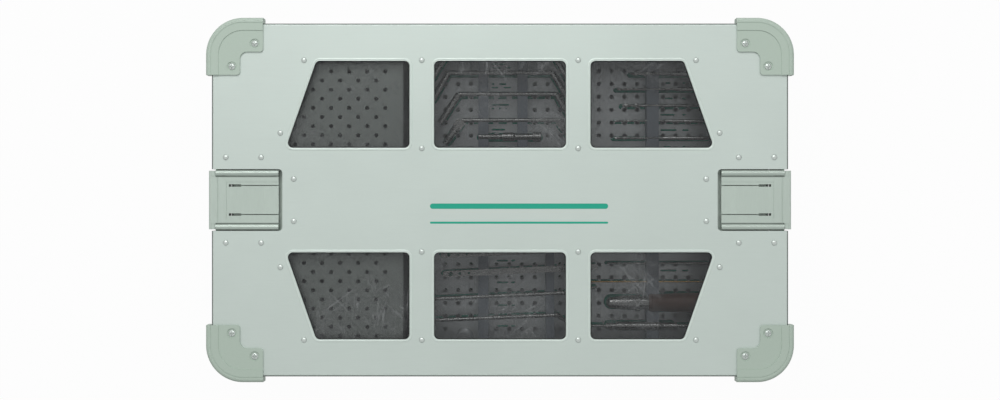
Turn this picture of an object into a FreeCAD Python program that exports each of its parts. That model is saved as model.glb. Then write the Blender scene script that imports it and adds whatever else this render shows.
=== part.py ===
import FreeCAD, Part
import math
import os

# Surgical instrument case: a sheet-metal base with moulded corner posts, a lift-off lid with six
# windows and two rocker latches, a screw box, and two stacked trays, the upper one laid out with
# instruments in notched holder strips. Millimetres, +X along the case, +Y across it, +Z up, with
# the origin on the ground below the middle.

os.makedirs("parts", exist_ok=True)
Vector = FreeCAD.Vector
BEYOND = 20.0  # how far a cutting tool runs past the sheet that it cuts

# Sheet and general clearances
base_sheet = 1.5
lid_sheet = 1.5
tray_sheet = 1.2
box_sheet = 1.2
seat_gap = 0.2
bend_radius = 3.0
foot_height = 6.0

# Trays: the tool field sets their length and width
tool_field_length = 339.3
tool_field_half_width = 151.0
tray_end_margin = 2.0
tray_side_margin = 10.8
tray_rim = 2.0
tray_rim_thickness = 1.6
tray_corner = 32.0
tray_height = 50.0
tray_bottom_radius = 4.0
tray_notch_half_width = 52.0
tray_notch_depth = 9.0
tray_notch_corner = 6.0
dimple_radius = 8.25
dimple_height = 1.0
dimple_hole_radius = 2.0
dimple_inset_left = 50.0
dimple_inset_right = 26.0
dimple_inset_side = 28.0

# Screw box
screw_box_length = 167.0
screw_box_width = 326.0
screw_box_drop = 0.4
screw_box_chamfer = 7.5
screw_box_lid_depth = 14.0
screw_box_lid_gap = 0.3
box_lid_chamfer = 0.8
screw_rack_height = 62.0
screw_rack_margin = 4.0
screw_rack_rows = 11
screw_rack_slot_width = 6.0
box_hinge_offset = 80.0
box_hinge_length = 20.0
box_hinge_barrel = 2.4
box_hinge_leaf = 1.0
box_hinge_upper = 9.0
box_hinge_lower = 14.0
box_latch_half_width = 14.0
box_latch_drop = 26.0
box_latch_thickness = 1.6
box_latch_height = 1.5
box_latch_corner = 4.0
box_latch_grip_radius = 2.0
box_latch_grip_rise = 3.0
box_latch_knuckle_radius = 2.2
box_latch_knuckle_length = 7.0
box_latch_knuckle_inset = 1.0
box_latch_knuckle_drop = 0.8

# Drainage holes in the screw box lid: every second hole of a row stands half a step aside
hole_radius = 2.4
hole_sides = 6
hole_step_x = 17.68
hole_step_y = 8.93
hole_columns = 8
hole_rows = 33
hole_field_x = 3.3
hole_field_y = 0.9
bare_middle_first_row = 11
bare_middle_last_row = 21
bare_middle_first_column = 3
bare_middle_last_column = 4
bare_corner_columns = 3

# Room round the screw box and the trays
left_end_gap = 15.5
middle_gap = 8.5
right_end_gap = 17.5
side_gap = 3.0

# Base
stack_headroom = 11.6
base_corner = 28.5
wall_slot_pitch = 21.0
wall_slot_height = 26.0
wall_slot_width = 4.0
wall_slot_lean = 9.0
wall_slot_z = 46.0
end_slot_pitch = 12.4
end_slot_count = 5
end_slot_first = 51.0
end_slot_height = 18.0
end_slot_width = 3.5
end_slot_z = 25.0
rim_notch_half_width = 38.0
rim_notch_depth = 12.0
rim_notch_corner = 5.0

# Corner posts
post_leg = 50.0
post_opening = 38.0
post_skin = 3.3
post_foot_width = 24.0
post_edge_radius = 2.0
post_lip = 3.0
post_clearance = 0.1

# Screw box guides on the floor
guide_leg = 28.0
guide_height = 60.0
guide_thickness = 1.5
guide_gap = 1.0
guide_radius = 10.0

# Lid
lid_gap = 0.5
lid_skirt = 14.0
lid_edge_radius = 2.0
window_corner = 5.5
window_near = 50.2
window_far = 135.8
window_middle_half = 64.6
window_outer_start = 87.3
window_outer_near = 208.8
window_outer_far = 178.8
pane_thickness = 2.5
pane_lap = 6.5
pane_inner_lap = 4.6

# Lid corner guards
guard_overhang = 5.4
guard_leg = 55.5
guard_arm = 33.0
guard_thickness = 2.8
guard_inner_corner = 7.0
guard_end_corner = 3.0
guard_edge_radius = 3.2
guard_band = 12.2
guard_groove_inset = 4.6
guard_groove_width = 0.7
guard_groove_depth = 0.4
guard_step = 0.8
guard_screw_long = 47.5
guard_screw_short = 25.3
screw_head_radius = 3.3
screw_recess_radius = 4.8
screw_recess_depth = 0.9
screw_head_height = 0.7

# Rivets
rivet_radius = 2.7
rivet_top_radius = 1.9
rivet_height = 0.9
strike_rivet_radius = 3.2
strike_rivet_spacing = 32.0
strike_rivet_z = 28.0

# Rocker latches
latch_notch_depth = 68.7
latch_notch_half = 30.0
latch_notch_corner = 4.0
latch_proud = 3.0
latch_leg_thickness = 2.6
latch_leg_length = 38.0
latch_leg_half = 28.5
latch_end_gap = 3.8
latch_plate_thickness = 2.2
latch_plate_drop = 1.1
latch_bead_y = 26.2
latch_bead_radius = 3.1
latch_bead_inset = 3.7
latch_bead_sink = 1.0
latch_groove_width = 0.8
latch_groove_depth = 0.9
latch_rail_inner = 17.7
latch_rail_height = 0.4
latch_slit_y = 14.1
latch_slit_width = 0.9
latch_slit_length = 48.3
latch_eye_width = 2.4
latch_eye_length = 12.0
latch_tongue_slope = 14.0
latch_tongue_drop = 0.9
latch_band_start = 3.5
latch_band_end = 17.0
latch_band_height = 0.7
latch_band_groove = 1.5
latch_nose = 0.9
latch_nose_height = 4.5
latch_nose_inset = 2.0
housing_wall = 1.2
housing_depth = 9.6
housing_flange = 16.0
housing_flange_half = 45.0
housing_end_gap = 0.7
pin_radius = 1.5
pin_running_gap = 0.05
pin_from_edge = 18.0
pin_drop = 5.3
barrel_radius = 2.9
barrel_length = 6.5
barrel_inset = 3.4
spring_radius = 2.6
spring_core = 1.7
spring_half = 8.0
spring_turns = 4
strike_thickness = 1.2
strike_half_width = 36.0
strike_top_drop = 18.0
strike_bottom = 14.0
strike_slot_half = 33.5
strike_slot_height = 6.0
strike_slot_drop = 36.0

# Instrument holders
holder_height = 22.0
tool_axis_height = 20.5
holder_clearance = 0.25
holder_end_gap = 2.0

# Bails
bail_wire = 1.8
bail_half = 60.5
bail_cross_half = 53.0
bail_reach = 16.0
bail_drop = 14.0
bail_rise = 7.0

# Hooks
hook_radius = 2.0
hook_knee_radius = 2.8
hook_waist_radius = 1.6
hook_tip_radius = 0.7

# Heights and places that follow from the sizes above
floor_z = foot_height + base_sheet
tray_wall_gap = tray_rim + tray_sheet
tray_length = tool_field_length + tray_end_margin + tray_wall_gap
tray_width = 2 * (tool_field_half_width + tray_side_margin + tray_wall_gap)
tray_bend_reach = tray_bottom_radius - tray_sheet
tray_nest = tray_bottom_radius - math.sqrt(tray_bottom_radius**2 - tray_bend_reach**2) - 0.05
lower_tray_z = floor_z
upper_tray_z = lower_tray_z + tray_height - tray_nest
stack_top_z = upper_tray_z + tray_height
screw_box_height = stack_top_z - screw_box_drop - floor_z
rim_z = stack_top_z + stack_headroom
tray_floor_z = upper_tray_z + tray_sheet
bail_pivot_z = stack_top_z - bail_drop
tool_z = tray_floor_z + tool_axis_height

inner_length = left_end_gap + screw_box_length + middle_gap + tray_length + right_end_gap
inner_width = tray_width + 2 * side_gap
base_length = inner_length + 2 * base_sheet
base_width = inner_width + 2 * base_sheet
half_length = base_length / 2
half_width = base_width / 2
screw_box_left = -inner_length / 2 + left_end_gap
screw_box_x = screw_box_left + screw_box_length / 2
tray_left = screw_box_left + screw_box_length + middle_gap
tray_x = tray_left + tray_length / 2

lid_under_z = rim_z + seat_gap
lid_top_z = lid_under_z + lid_sheet
lid_skirt_z = rim_z - lid_skirt
lid_length = base_length + 2 * (lid_gap + lid_sheet)
lid_width = base_width + 2 * (lid_gap + lid_sheet)
lid_corner = base_corner + lid_gap + lid_sheet
lid_half_length = lid_length / 2
lid_half_width = lid_width / 2
guard_top_z = lid_top_z + guard_thickness
guard_half_length = lid_half_length + guard_overhang
guard_half_width = lid_half_width + guard_overhang
notch_inner = lid_half_length - latch_notch_depth
latch_outer = lid_half_length + latch_proud
latch_leg_inner = latch_outer - latch_leg_thickness
pin_x = lid_half_length - pin_from_edge
pin_z = lid_under_z - pin_drop


def block(x0, x1, y0, y1, z0, z1):
    return Part.makeBox(x1 - x0, y1 - y0, z1 - z0, Vector(x0, y0, z0))


def vertical(edge):
    a, b = edge.Vertexes[0].Point, edge.Vertexes[-1].Point
    return abs(a.x - b.x) < 1e-6 and abs(a.y - b.y) < 1e-6 and abs(a.z - b.z) > 1e-6


def edges_at(shape, z):
    """Every edge of the shape that lies in the level plane z."""
    return [e for e in shape.Edges if abs(e.BoundBox.ZMin - z) < 1e-6 and abs(e.BoundBox.ZMax - z) < 1e-6]


def upright_edges(shape, near=None):
    """The upright edges, or only those that stand at one of the given (x, y) places."""
    found = [e for e in shape.Edges if vertical(e)]
    if near is None:
        return found
    places = [Vector(x, y, 0) for x, y in near]
    chosen = []
    for e in found:
        foot = Vector(e.CenterOfMass.x, e.CenterOfMass.y, 0)
        if any((foot - place).Length < 0.01 for place in places):
            chosen.append(e)
    return chosen


def rounded_prism(length, width, corner, z0, z1, x=0.0, y=0.0):
    body = block(x - length / 2, x + length / 2, y - width / 2, y + width / 2, z0, z1)
    return body.makeFillet(corner, upright_edges(body))


def band(length, width, corner, outer, inner, z0, z1):
    """An upright ring between two offsets of a rounded rectangle, positive outwards."""
    ring = rounded_prism(length + 2 * outer, width + 2 * outer, corner + outer, z0, z1)
    return ring.cut(rounded_prism(length + 2 * inner, width + 2 * inner, corner + inner, z0 - 1, z1 + 1))


def polygon_prism(points, corner, z0, z1):
    wire = Part.makePolygon([Vector(x, y, z0) for x, y in points + points[:1]])
    body = Part.Face(wire).extrude(Vector(0, 0, z1 - z0))
    return body.makeFillet(corner, upright_edges(body))


def flip_x(shape):
    return shape.mirror(Vector(0, 0, 0), Vector(1, 0, 0))


def flip_y(shape):
    return shape.mirror(Vector(0, 0, 0), Vector(0, 1, 0))


def four_ways(shape):
    """The shape in the +X +Y corner and its mirror images in the other three."""
    return [shape, flip_x(shape), flip_y(shape), flip_x(flip_y(shape))]


def fuse(shapes):
    whole = shapes[0].multiFuse(shapes[1:])
    return whole.removeSplitter()


def turned(start, end, stations, grow=0.0):
    """A turned piece from start to end. Stations are (distance, radius) pairs along its axis."""
    axis = end.sub(start)
    outline = [Vector(stations[0][0] - grow, 0, 0)]
    outline += [Vector(d, r + grow, 0) for d, r in stations]
    outline[1].x -= grow
    outline[-1].x += grow
    outline.append(Vector(stations[-1][0] + grow, 0, 0))
    face = Part.Face(Part.makePolygon(outline + outline[:1]))
    body = face.revolve(Vector(0, 0, 0), Vector(1, 0, 0), 360)
    body.Placement = FreeCAD.Placement(start, FreeCAD.Rotation(Vector(1, 0, 0), axis))
    return body


def rod(start, end, radius, grow=0.0):
    return turned(start, end, [(0, radius), (end.sub(start).Length, radius)], grow)


def at_tool(x, y, lift=0.0):
    """A point at tool height, x measured from the tray's left side."""
    return Vector(tray_left + x, y, tool_z + lift)


def export(shape, node):
    shape.exportStep("parts/" + node + ".step")


# Base: a folded pan whose corners are open for the posts
def base_shell():
    outer = rounded_prism(base_length, base_width, base_corner, foot_height, rim_z)
    outer = outer.makeFillet(bend_radius, edges_at(outer, foot_height))
    hollow = rounded_prism(inner_length, inner_width, base_corner - base_sheet, floor_z, rim_z + 1)
    hollow = hollow.makeFillet(bend_radius - base_sheet, edges_at(hollow, floor_z))
    opening = block(half_length - post_opening, half_length + 1, half_width - post_opening, half_width + 1,
                    floor_z + post_lip, rim_z + 1)
    return outer.cut([hollow] + four_ways(opening) + end_wall_cuts() + wall_slots())


def end_wall_cuts():
    """The rim notch that the latch crosses and the slot that its nose faces, at both ends."""
    x0, x1 = half_length - base_sheet - 1, half_length + 1
    sill = rim_z - rim_notch_depth
    notch = block(x0, x1, -rim_notch_half_width, rim_notch_half_width, sill, rim_z + BEYOND)
    low = [e for e in edges_at(notch, sill) if e.BoundBox.XLength > 1]
    notch = notch.makeFillet(rim_notch_corner, low)
    cuts = [notch, strike_slot(x0, x1)]
    for number in range(end_slot_count):
        y = end_slot_first + number * end_slot_pitch
        for side in (-1, 1):
            cuts.append(block(x0, x1, side * y - end_slot_width / 2, side * y + end_slot_width / 2,
                              end_slot_z - end_slot_height / 2, end_slot_z + end_slot_height / 2))
    return cuts + [flip_x(c) for c in cuts]


def strike_slot(x0, x1):
    middle = rim_z - strike_slot_drop
    return block(x0, x1, -strike_slot_half, strike_slot_half, middle - strike_slot_height / 2,
                 middle + strike_slot_height / 2)


def wall_slots():
    """Slanted air slots along both long walls, as many as fit between the posts."""
    run = base_length - 2 * (post_leg + wall_slot_pitch / 2)
    count = int(run / wall_slot_pitch) + 1
    slots = []
    for number in range(count):
        x = (number - (count - 1) / 2) * wall_slot_pitch
        low, high = wall_slot_z - wall_slot_height / 2, wall_slot_z + wall_slot_height / 2
        corners = [(x - wall_slot_lean / 2, low), (x - wall_slot_lean / 2 + wall_slot_width, low),
                   (x + wall_slot_lean / 2, high), (x + wall_slot_lean / 2 - wall_slot_width, high)]
        y = half_width - base_sheet - 1
        wire = Part.makePolygon([Vector(px, y, pz) for px, pz in corners + corners[:1]])
        slot = Part.Face(wire).extrude(Vector(0, base_sheet + 2, 0))
        slots += [slot, flip_y(slot)]
    return slots


# Corner posts: a skin outside the wall, an infill in its open corner and a foot below
def corner_post():
    def corner_block(leg, z0, z1):
        return block(half_length - leg, half_length + BEYOND, half_width - leg, half_width + BEYOND, z0, z1)

    post_top = lid_skirt_z - 2 * seat_gap
    skin_outer = post_clearance + post_skin
    skin = band(base_length, base_width, base_corner, skin_outer, post_clearance, 0, post_top)
    skin = skin.common(corner_block(post_leg, 0, post_top))
    infill = band(base_length, base_width, base_corner, skin_outer - post_skin / 2, -base_sheet,
                  floor_z + post_lip + post_clearance, post_top)
    infill = infill.common(corner_block(post_opening - seat_gap, 0, post_top))
    rim = band(base_length, base_width, base_corner, 0, -base_sheet, post_top - 1, rim_z)
    rim = rim.common(corner_block(post_opening - seat_gap, 0, rim_z))
    foot = band(base_length, base_width, base_corner, skin_outer, -post_foot_width, 0, foot_height)
    foot = foot.common(corner_block(post_leg, 0, foot_height))
    post = fuse([skin, infill, rim, foot])
    return post.makeChamfer(post_edge_radius, outline_edges(post, 0, skin_outer))


def outline_edges(shape, z, offset):
    """The edges at level z that run along the outline offset from the base."""
    x, y = half_length + offset, half_width + offset
    arc = Vector(half_length - base_corner, half_width - base_corner, z)
    found = []
    for e in edges_at(shape, z):
        middle = e.valueAt((e.FirstParameter + e.LastParameter) / 2)
        on_arc = abs((middle - arc).Length - base_corner - offset) < 1e-3
        if abs(middle.x - x) < 1e-3 or abs(middle.y - y) < 1e-3 or on_arc:
            found.append(e)
    return found


def screw_box_guides():
    """Four angle brackets on the floor that hold the screw box by its corners."""
    reach_x = screw_box_length / 2 + guide_gap
    reach_y = screw_box_width / 2 + guide_gap
    guides = []
    for side_x, side_y in ((1, 1), (-1, 1), (-1, -1), (1, -1)):
        outer = rounded_prism(2 * (reach_x + guide_thickness), 2 * (reach_y + guide_thickness),
                              guide_radius, floor_z, floor_z + guide_height, screw_box_x)
        hollow = rounded_prism(2 * reach_x, 2 * reach_y, guide_radius - guide_thickness,
                               floor_z - 1, floor_z + guide_height + 1, screw_box_x)
        corner_x = screw_box_x + side_x * (reach_x + guide_thickness)
        corner_y = side_y * (reach_y + guide_thickness)
        x0, x1 = sorted((corner_x, corner_x - side_x * guide_leg))
        y0, y1 = sorted((corner_y, corner_y - side_y * guide_leg))
        keep = block(x0, x1, y0, y1, floor_z, floor_z + guide_height)
        guides.append(outer.cut(hollow).common(keep))
    return Part.makeCompound(guides)


# Lid: a shallow pan with six windows and a notch at each end
def lid_panel():
    outer = rounded_prism(lid_length, lid_width, lid_corner, lid_skirt_z, lid_top_z)
    outer = outer.makeFillet(lid_edge_radius, edges_at(outer, lid_top_z))
    hollow = rounded_prism(lid_length - 2 * lid_sheet, lid_width - 2 * lid_sheet, lid_corner - lid_sheet,
                           lid_skirt_z - 1, lid_under_z)
    return outer.cut([hollow] + windows() + latch_notches())


def windows():
    """Two rows of three. The outer two slant outwards towards the centre line."""
    z0, z1 = lid_under_z - 1, lid_top_z + 1
    middle = polygon_prism([(-window_middle_half, window_near), (window_middle_half, window_near),
                            (window_middle_half, window_far), (-window_middle_half, window_far)],
                           window_corner, z0, z1)
    outer = polygon_prism([(window_outer_start, window_near), (window_outer_near, window_near),
                           (window_outer_far, window_far), (window_outer_start, window_far)],
                          window_corner, z0, z1)
    return [middle, flip_y(middle)] + four_ways(outer)


def latch_notches():
    notch = block(notch_inner, lid_half_length + BEYOND, -latch_notch_half, latch_notch_half,
                  lid_skirt_z - 1, lid_top_z + 1)
    corners = [(notch_inner, latch_notch_half), (notch_inner, -latch_notch_half)]
    notch = notch.makeFillet(latch_notch_corner, upright_edges(notch, corners))
    return [notch, flip_x(notch)]


def window_pane():
    """One clear pane under each row of windows, lapping under the sheet all round."""
    far = window_far + pane_lap
    near = window_near - pane_inner_lap
    slope = (window_outer_near - window_outer_far) / (window_far - window_near)
    near_x = window_outer_near + slope * pane_inner_lap + pane_lap + 4
    far_x = window_outer_far - slope * pane_lap + pane_lap + 4
    return polygon_prism([(-near_x, near), (near_x, near), (far_x, far), (-far_x, far)], window_corner,
                         lid_under_z - pane_thickness, lid_under_z)


# Lid corner guards: an angle plate on top that turns down outside the skirt
def lid_guard():
    low = lid_skirt_z - seat_gap
    outer = rounded_prism(2 * guard_half_length, 2 * guard_half_width, lid_corner + guard_overhang,
                          low, guard_top_z)
    outer = outer.makeFillet(guard_edge_radius, edges_at(outer, guard_top_z))
    inner = rounded_prism(2 * (guard_half_length - guard_arm), 2 * (guard_half_width - guard_arm),
                          guard_inner_corner, low - 1, guard_top_z + 1)
    start_x, start_y = guard_half_length - guard_leg, guard_half_width - guard_leg
    keep = block(start_x, guard_half_length, start_y, guard_half_width, low, guard_top_z)
    guard = outer.cut(inner).common(keep)
    ends = [(start_x, guard_half_width - guard_arm), (guard_half_length - guard_arm, start_y)]
    guard = guard.makeFillet(guard_end_corner, upright_edges(guard, ends))
    lid_body = rounded_prism(lid_length, lid_width, lid_corner, low - 1, lid_top_z)
    step_z = guard_top_z - guard_step
    step = rounded_prism(2 * (guard_half_length - guard_band), 2 * (guard_half_width - guard_band),
                         lid_corner + guard_overhang - guard_band, step_z, guard_top_z + 1)
    recesses = [Part.makeCylinder(screw_recess_radius, BEYOND, Vector(x, y, step_z - screw_recess_depth))
                for x, y in guard_screw_places()]
    inset = guard_groove_inset
    groove = band(2 * guard_half_length, 2 * guard_half_width, lid_corner + guard_overhang, -inset,
                  -inset - guard_groove_width, guard_top_z - guard_groove_depth, guard_top_z + 1)
    return guard.cut([lid_body, step, groove] + recesses)


def guard_screw_places():
    return [(guard_half_length - guard_screw_long, guard_half_width - guard_screw_short),
            (guard_half_length - guard_screw_short, guard_half_width - guard_screw_long)]


def lid_guard_screws():
    seat = guard_top_z - guard_step - screw_recess_depth
    heads = []
    for x, y in guard_screw_places():
        head = Part.makeCone(screw_head_radius, screw_head_radius - screw_head_height / 2, screw_head_height,
                             Vector(x, y, seat))
        heads += four_ways(head)
    return Part.makeCompound(heads)


def lid_rivets():
    """Rivets that hold the panes, beside the windows, and the latch housings, round their notches."""
    gap_x = (window_middle_half + window_outer_start) / 2
    flange_out = lid_half_length - latch_notch_depth / 5
    places = [(gap_x, window_far), (gap_x, window_near), (window_outer_far + 11.5, window_far),
              (window_outer_near + 4.5, window_near + 15), (flange_out, latch_notch_half + 11.5),
              (flange_out - latch_notch_depth / 2, latch_notch_half + 11.5), (notch_inner - 11.0, 20.5)]
    rivets = []
    for x, y in places:
        rivet = Part.makeCone(rivet_radius, rivet_top_radius, rivet_height, Vector(x, y, lid_top_z))
        rivets += four_ways(rivet)
    return Part.makeCompound(rivets)


# Rocker latches, drawn at the +X end
def latch_housing():
    flange_z = lid_under_z - housing_wall
    end_x = half_length - base_sheet - housing_end_gap
    half = latch_notch_half
    flange = block(notch_inner - housing_flange, end_x, -housing_flange_half, housing_flange_half,
                   flange_z, lid_under_z)
    floor = lid_under_z - housing_depth
    pan_half = half + housing_wall
    pan = block(notch_inner - housing_wall, end_x, -pan_half, pan_half, floor, lid_under_z)
    inside = block(notch_inner, end_x + 1, -half, half, floor + housing_wall, lid_under_z + 1)
    corners = [(notch_inner, half), (notch_inner, -half)]
    inside = inside.makeFillet(latch_notch_corner, upright_edges(inside, corners))
    bore_start = Vector(pin_x, -half - BEYOND / 2, pin_z)
    bore = Part.makeCylinder(pin_radius, 2 * half + BEYOND, bore_start, Vector(0, 1, 0))
    return fuse([flange, pan]).cut([inside, bore])


def latch_pin():
    half = latch_notch_half + housing_wall
    return Part.makeCylinder(pin_radius, 2 * half, Vector(pin_x, -half, pin_z), Vector(0, 1, 0))


def latch_lever():
    """A pressed plate with rolled sides, a leg outside the wall, a nose, and barrels for the pin."""
    inner_x = notch_inner + latch_end_gap
    top = lid_top_z - latch_plate_drop
    low = top - latch_plate_thickness
    crown = top + latch_band_height
    groove_y = latch_bead_y - latch_bead_radius
    band_x = latch_outer - latch_band_end
    solids = [block(inner_x, latch_leg_inner + 1, -latch_bead_y, latch_bead_y, low, top)]
    solids += latch_leg(crown)
    crown_bar = block(band_x, latch_leg_inner + 1, -groove_y, groove_y, low, crown)
    mid_x = latch_outer - latch_band_start - 0.5 * latch_band_end + latch_bead_inset
    crown_groove = block(mid_x - latch_band_groove, mid_x, -groove_y, groove_y, top, crown + 1)
    solids.append(crown_bar.cut(crown_groove))
    for side in (-1, 1):
        solids += latch_side(side, inner_x, low, top, band_x)
    lever = fuse(solids)
    return lever.cut(lever_cuts(inner_x, top, low))


def latch_leg(crown):
    """The leg that hangs outside the wall, rounded over at its head, and the nose at its foot."""
    low = rim_z - latch_leg_length
    leg = block(latch_leg_inner, latch_outer, -latch_leg_half, latch_leg_half, low, crown)
    head = [e for e in edges_at(leg, crown) if e.BoundBox.XMin > latch_outer - 0.01]
    leg = leg.makeFillet(latch_leg_thickness - 0.4, head)
    nose_half = latch_leg_half - latch_nose_inset
    nose = block(latch_leg_inner - latch_nose, latch_leg_inner + 1, -nose_half, nose_half,
                 low, low + latch_nose_height)
    return [leg, nose]


def latch_side(side, inner_x, low, top, band_x):
    """One side of the lever: its rolled edge, the rail beside it, and a barrel on a web."""
    bead_end = lid_half_length - latch_bead_inset
    bead = Part.makeCylinder(latch_bead_radius, bead_end - inner_x,
                             Vector(inner_x, side * latch_bead_y, top - latch_bead_sink), Vector(1, 0, 0))
    above = block(inner_x, latch_outer, -latch_notch_half, latch_notch_half, low, low + BEYOND)
    rail_y = sorted((side * latch_rail_inner, side * latch_bead_y))
    rail = block(inner_x, band_x + 1, rail_y[0], rail_y[1], low, top + latch_rail_height)
    barrel_y = latch_slit_y + barrel_inset
    y0 = barrel_y if side > 0 else -barrel_y - barrel_length
    barrel = Part.makeCylinder(barrel_radius, barrel_length, Vector(pin_x, y0, pin_z), Vector(0, 1, 0))
    web = block(pin_x - barrel_radius, pin_x + barrel_radius, y0, y0 + barrel_length, pin_z, low)
    return [bead.common(above), rail, barrel, web]


def lever_cuts(inner_x, top, low):
    """Grooves inside the rolled edges, slits beside the tongue, its sloping tip and the pin's bore."""
    cuts = []
    slit_end = inner_x + latch_slit_length
    groove_outer = latch_bead_y - latch_bead_radius
    for side in (-1, 1):
        y = side * latch_slit_y
        for start, width in ((inner_x - 1, latch_slit_width), (slit_end - latch_eye_length, latch_eye_width)):
            cuts.append(block(start, slit_end, y - width / 2, y + width / 2, low - 1, top + 1))
        y0, y1 = sorted((side * groove_outer, side * (groove_outer - latch_groove_width)))
        cuts.append(block(inner_x - 1, lid_half_length - latch_bead_inset, y0, y1, top - latch_groove_depth,
                          top + BEYOND))
    slope_x = inner_x + latch_tongue_slope
    fall = Part.makePolygon([Vector(inner_x - 1, 0, top - latch_tongue_drop), Vector(inner_x - 1, 0, top + 1),
                             Vector(slope_x, 0, top + 1), Vector(slope_x, 0, top),
                             Vector(inner_x - 1, 0, top - latch_tongue_drop)])
    wedge = Part.Face(fall).extrude(Vector(0, 2 * latch_slit_y, 0))
    wedge.translate(Vector(0, -latch_slit_y, 0))
    bore = Part.makeCylinder(pin_radius + pin_running_gap, 4 * latch_slit_y,
                             Vector(pin_x, -2 * latch_slit_y, pin_z), Vector(0, 1, 0))
    return cuts + [wedge, bore]


def latch_spring():
    """A torsion spring wound on the pin, its turns drawn as ridges of one sleeve."""
    pitch = 2 * spring_half / spring_turns
    outline = [Vector(0, -spring_half, spring_core), Vector(0, -spring_half, spring_radius)]
    for turn in range(spring_turns):
        y = -spring_half + turn * pitch
        outline += [Vector(0, y + pitch * 0.7, spring_radius), Vector(0, y + pitch * 0.85, spring_core + 0.3)]
        outline.append(Vector(0, y + pitch, spring_radius))
    outline.append(Vector(0, spring_half, spring_core))
    face = Part.Face(Part.makePolygon(outline + outline[:1]))
    sleeve = face.revolve(Vector(0, 0, 0), Vector(0, 1, 0), 360)
    sleeve.translate(Vector(pin_x, 0, pin_z))
    return sleeve


def strike_plate():
    top = rim_z - strike_top_drop
    plate = block(half_length, half_length + strike_thickness, -strike_half_width, strike_half_width,
                  strike_bottom, top)
    corners = [e for e in plate.Edges if e.BoundBox.XLength > 1]
    plate = plate.makeFillet(3.0, corners)
    return plate.cut(strike_slot(half_length - 1, half_length + strike_thickness + 1))


def strike_rivets():
    rivets = []
    for y in (-strike_rivet_spacing, 0, strike_rivet_spacing):
        rivet = Part.makeCone(strike_rivet_radius, rivet_top_radius, rivet_height,
                              Vector(half_length + strike_thickness, y, strike_rivet_z), Vector(1, 0, 0))
        rivets += [rivet, flip_x(rivet)]
    return Part.makeCompound(rivets)


# Trays
def tray(bottom):
    body_length = tray_length - 2 * tray_rim
    body_width = tray_width - 2 * tray_rim
    body_corner = tray_corner - tray_rim
    top = bottom + tray_height
    outer = rounded_prism(body_length, body_width, body_corner, bottom, top, tray_x)
    outer = outer.makeFillet(tray_bottom_radius, edges_at(outer, bottom))
    rim = rounded_prism(tray_length, tray_width, tray_corner, top - tray_rim_thickness, top, tray_x)
    hollow = rounded_prism(body_length - 2 * tray_sheet, body_width - 2 * tray_sheet,
                           body_corner - tray_sheet, bottom + tray_sheet, top + 1, tray_x)
    hollow = hollow.makeFillet(tray_bend_reach, edges_at(hollow, bottom + tray_sheet))
    notch = block(tray_x - tray_length, tray_x + tray_length, -tray_notch_half_width, tray_notch_half_width,
                  top - tray_notch_depth, top + 1)
    sill = top - tray_notch_depth
    low = [e for e in notch.Edges if e.BoundBox.XLength > 1 and abs(e.BoundBox.ZMax - sill) < 1e-6]
    notch = notch.makeFillet(tray_notch_corner, low)
    body = fuse([outer, rim]).cut([hollow, notch])
    return add_dimples(body, bottom + tray_sheet)


def add_dimples(body, floor):
    """Round pads pressed up in the floor near its corners, each with a hole."""
    reach_y = tray_width / 2 - dimple_inset_side
    across = (tray_left + dimple_inset_left, tray_left + tray_length - dimple_inset_right)
    places = [Vector(x, y, floor) for x in across for y in (-reach_y, reach_y)]
    pads = [Part.makeCone(dimple_radius, dimple_radius - dimple_height, dimple_height, p) for p in places]
    holes = [Part.makeCylinder(dimple_hole_radius, BEYOND, p - Vector(0, 0, BEYOND / 2)) for p in places]
    return fuse([body] + pads).cut(holes)


def bail():
    """A wire carrying loop, folded into the tray, its ends turned out through the end wall."""
    wall = tray_left + tray_wall_gap
    pivot_z = bail_pivot_z
    cross_x = wall + bail_reach
    cross_z = pivot_z + bail_rise
    outside = wall - tray_sheet - bail_wire
    inside = wall + 2 * bail_wire
    points = [Vector(outside, bail_half, pivot_z), Vector(inside, bail_half, pivot_z),
              Vector(cross_x, bail_cross_half, cross_z), Vector(cross_x, -bail_cross_half, cross_z),
              Vector(inside, -bail_half, pivot_z), Vector(outside, -bail_half, pivot_z)]
    runs = [rod(a, b, bail_wire) for a, b in zip(points, points[1:])]
    bends = [Part.makeSphere(bail_wire, p) for p in points[1:-1]]
    return fuse(runs + bends)


def bail_holes():
    """The bores in the upper tray's end walls that the bails turn in."""
    start_x, run = tray_left - 1, tray_length + 2
    return [Part.makeCylinder(bail_wire, run, Vector(start_x, y, bail_pivot_z), Vector(1, 0, 0))
            for y in (-bail_half, bail_half)]


# Screw box
def box_outline(offset, z0, z1):
    """The screw box's plan with its cut corners, grown or shrunk by an offset."""
    length, width = screw_box_length + 2 * offset, screw_box_width + 2 * offset
    body = block(screw_box_x - length / 2, screw_box_x + length / 2, -width / 2, width / 2, z0, z1)
    return body.makeChamfer(screw_box_chamfer + offset * 0.6, upright_edges(body))


def screw_box_body():
    wall_out = -box_sheet - screw_box_lid_gap
    top = floor_z + screw_box_height - box_sheet - seat_gap
    body = box_outline(wall_out, floor_z, top)
    return body.cut(box_outline(wall_out - box_sheet, floor_z + box_sheet, top + 1))


def screw_box_lid():
    top = floor_z + screw_box_height
    low = top - screw_box_lid_depth
    body = box_outline(0, low, top)
    body = body.makeChamfer(box_lid_chamfer, edges_at(body, top))
    holes = [hole_prism(x, y, top - box_sheet - 1, top + 1) for x, y in lid_hole_places()]
    return body.cut([box_outline(-box_sheet, low - 1, top - box_sheet)] + holes)


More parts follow.
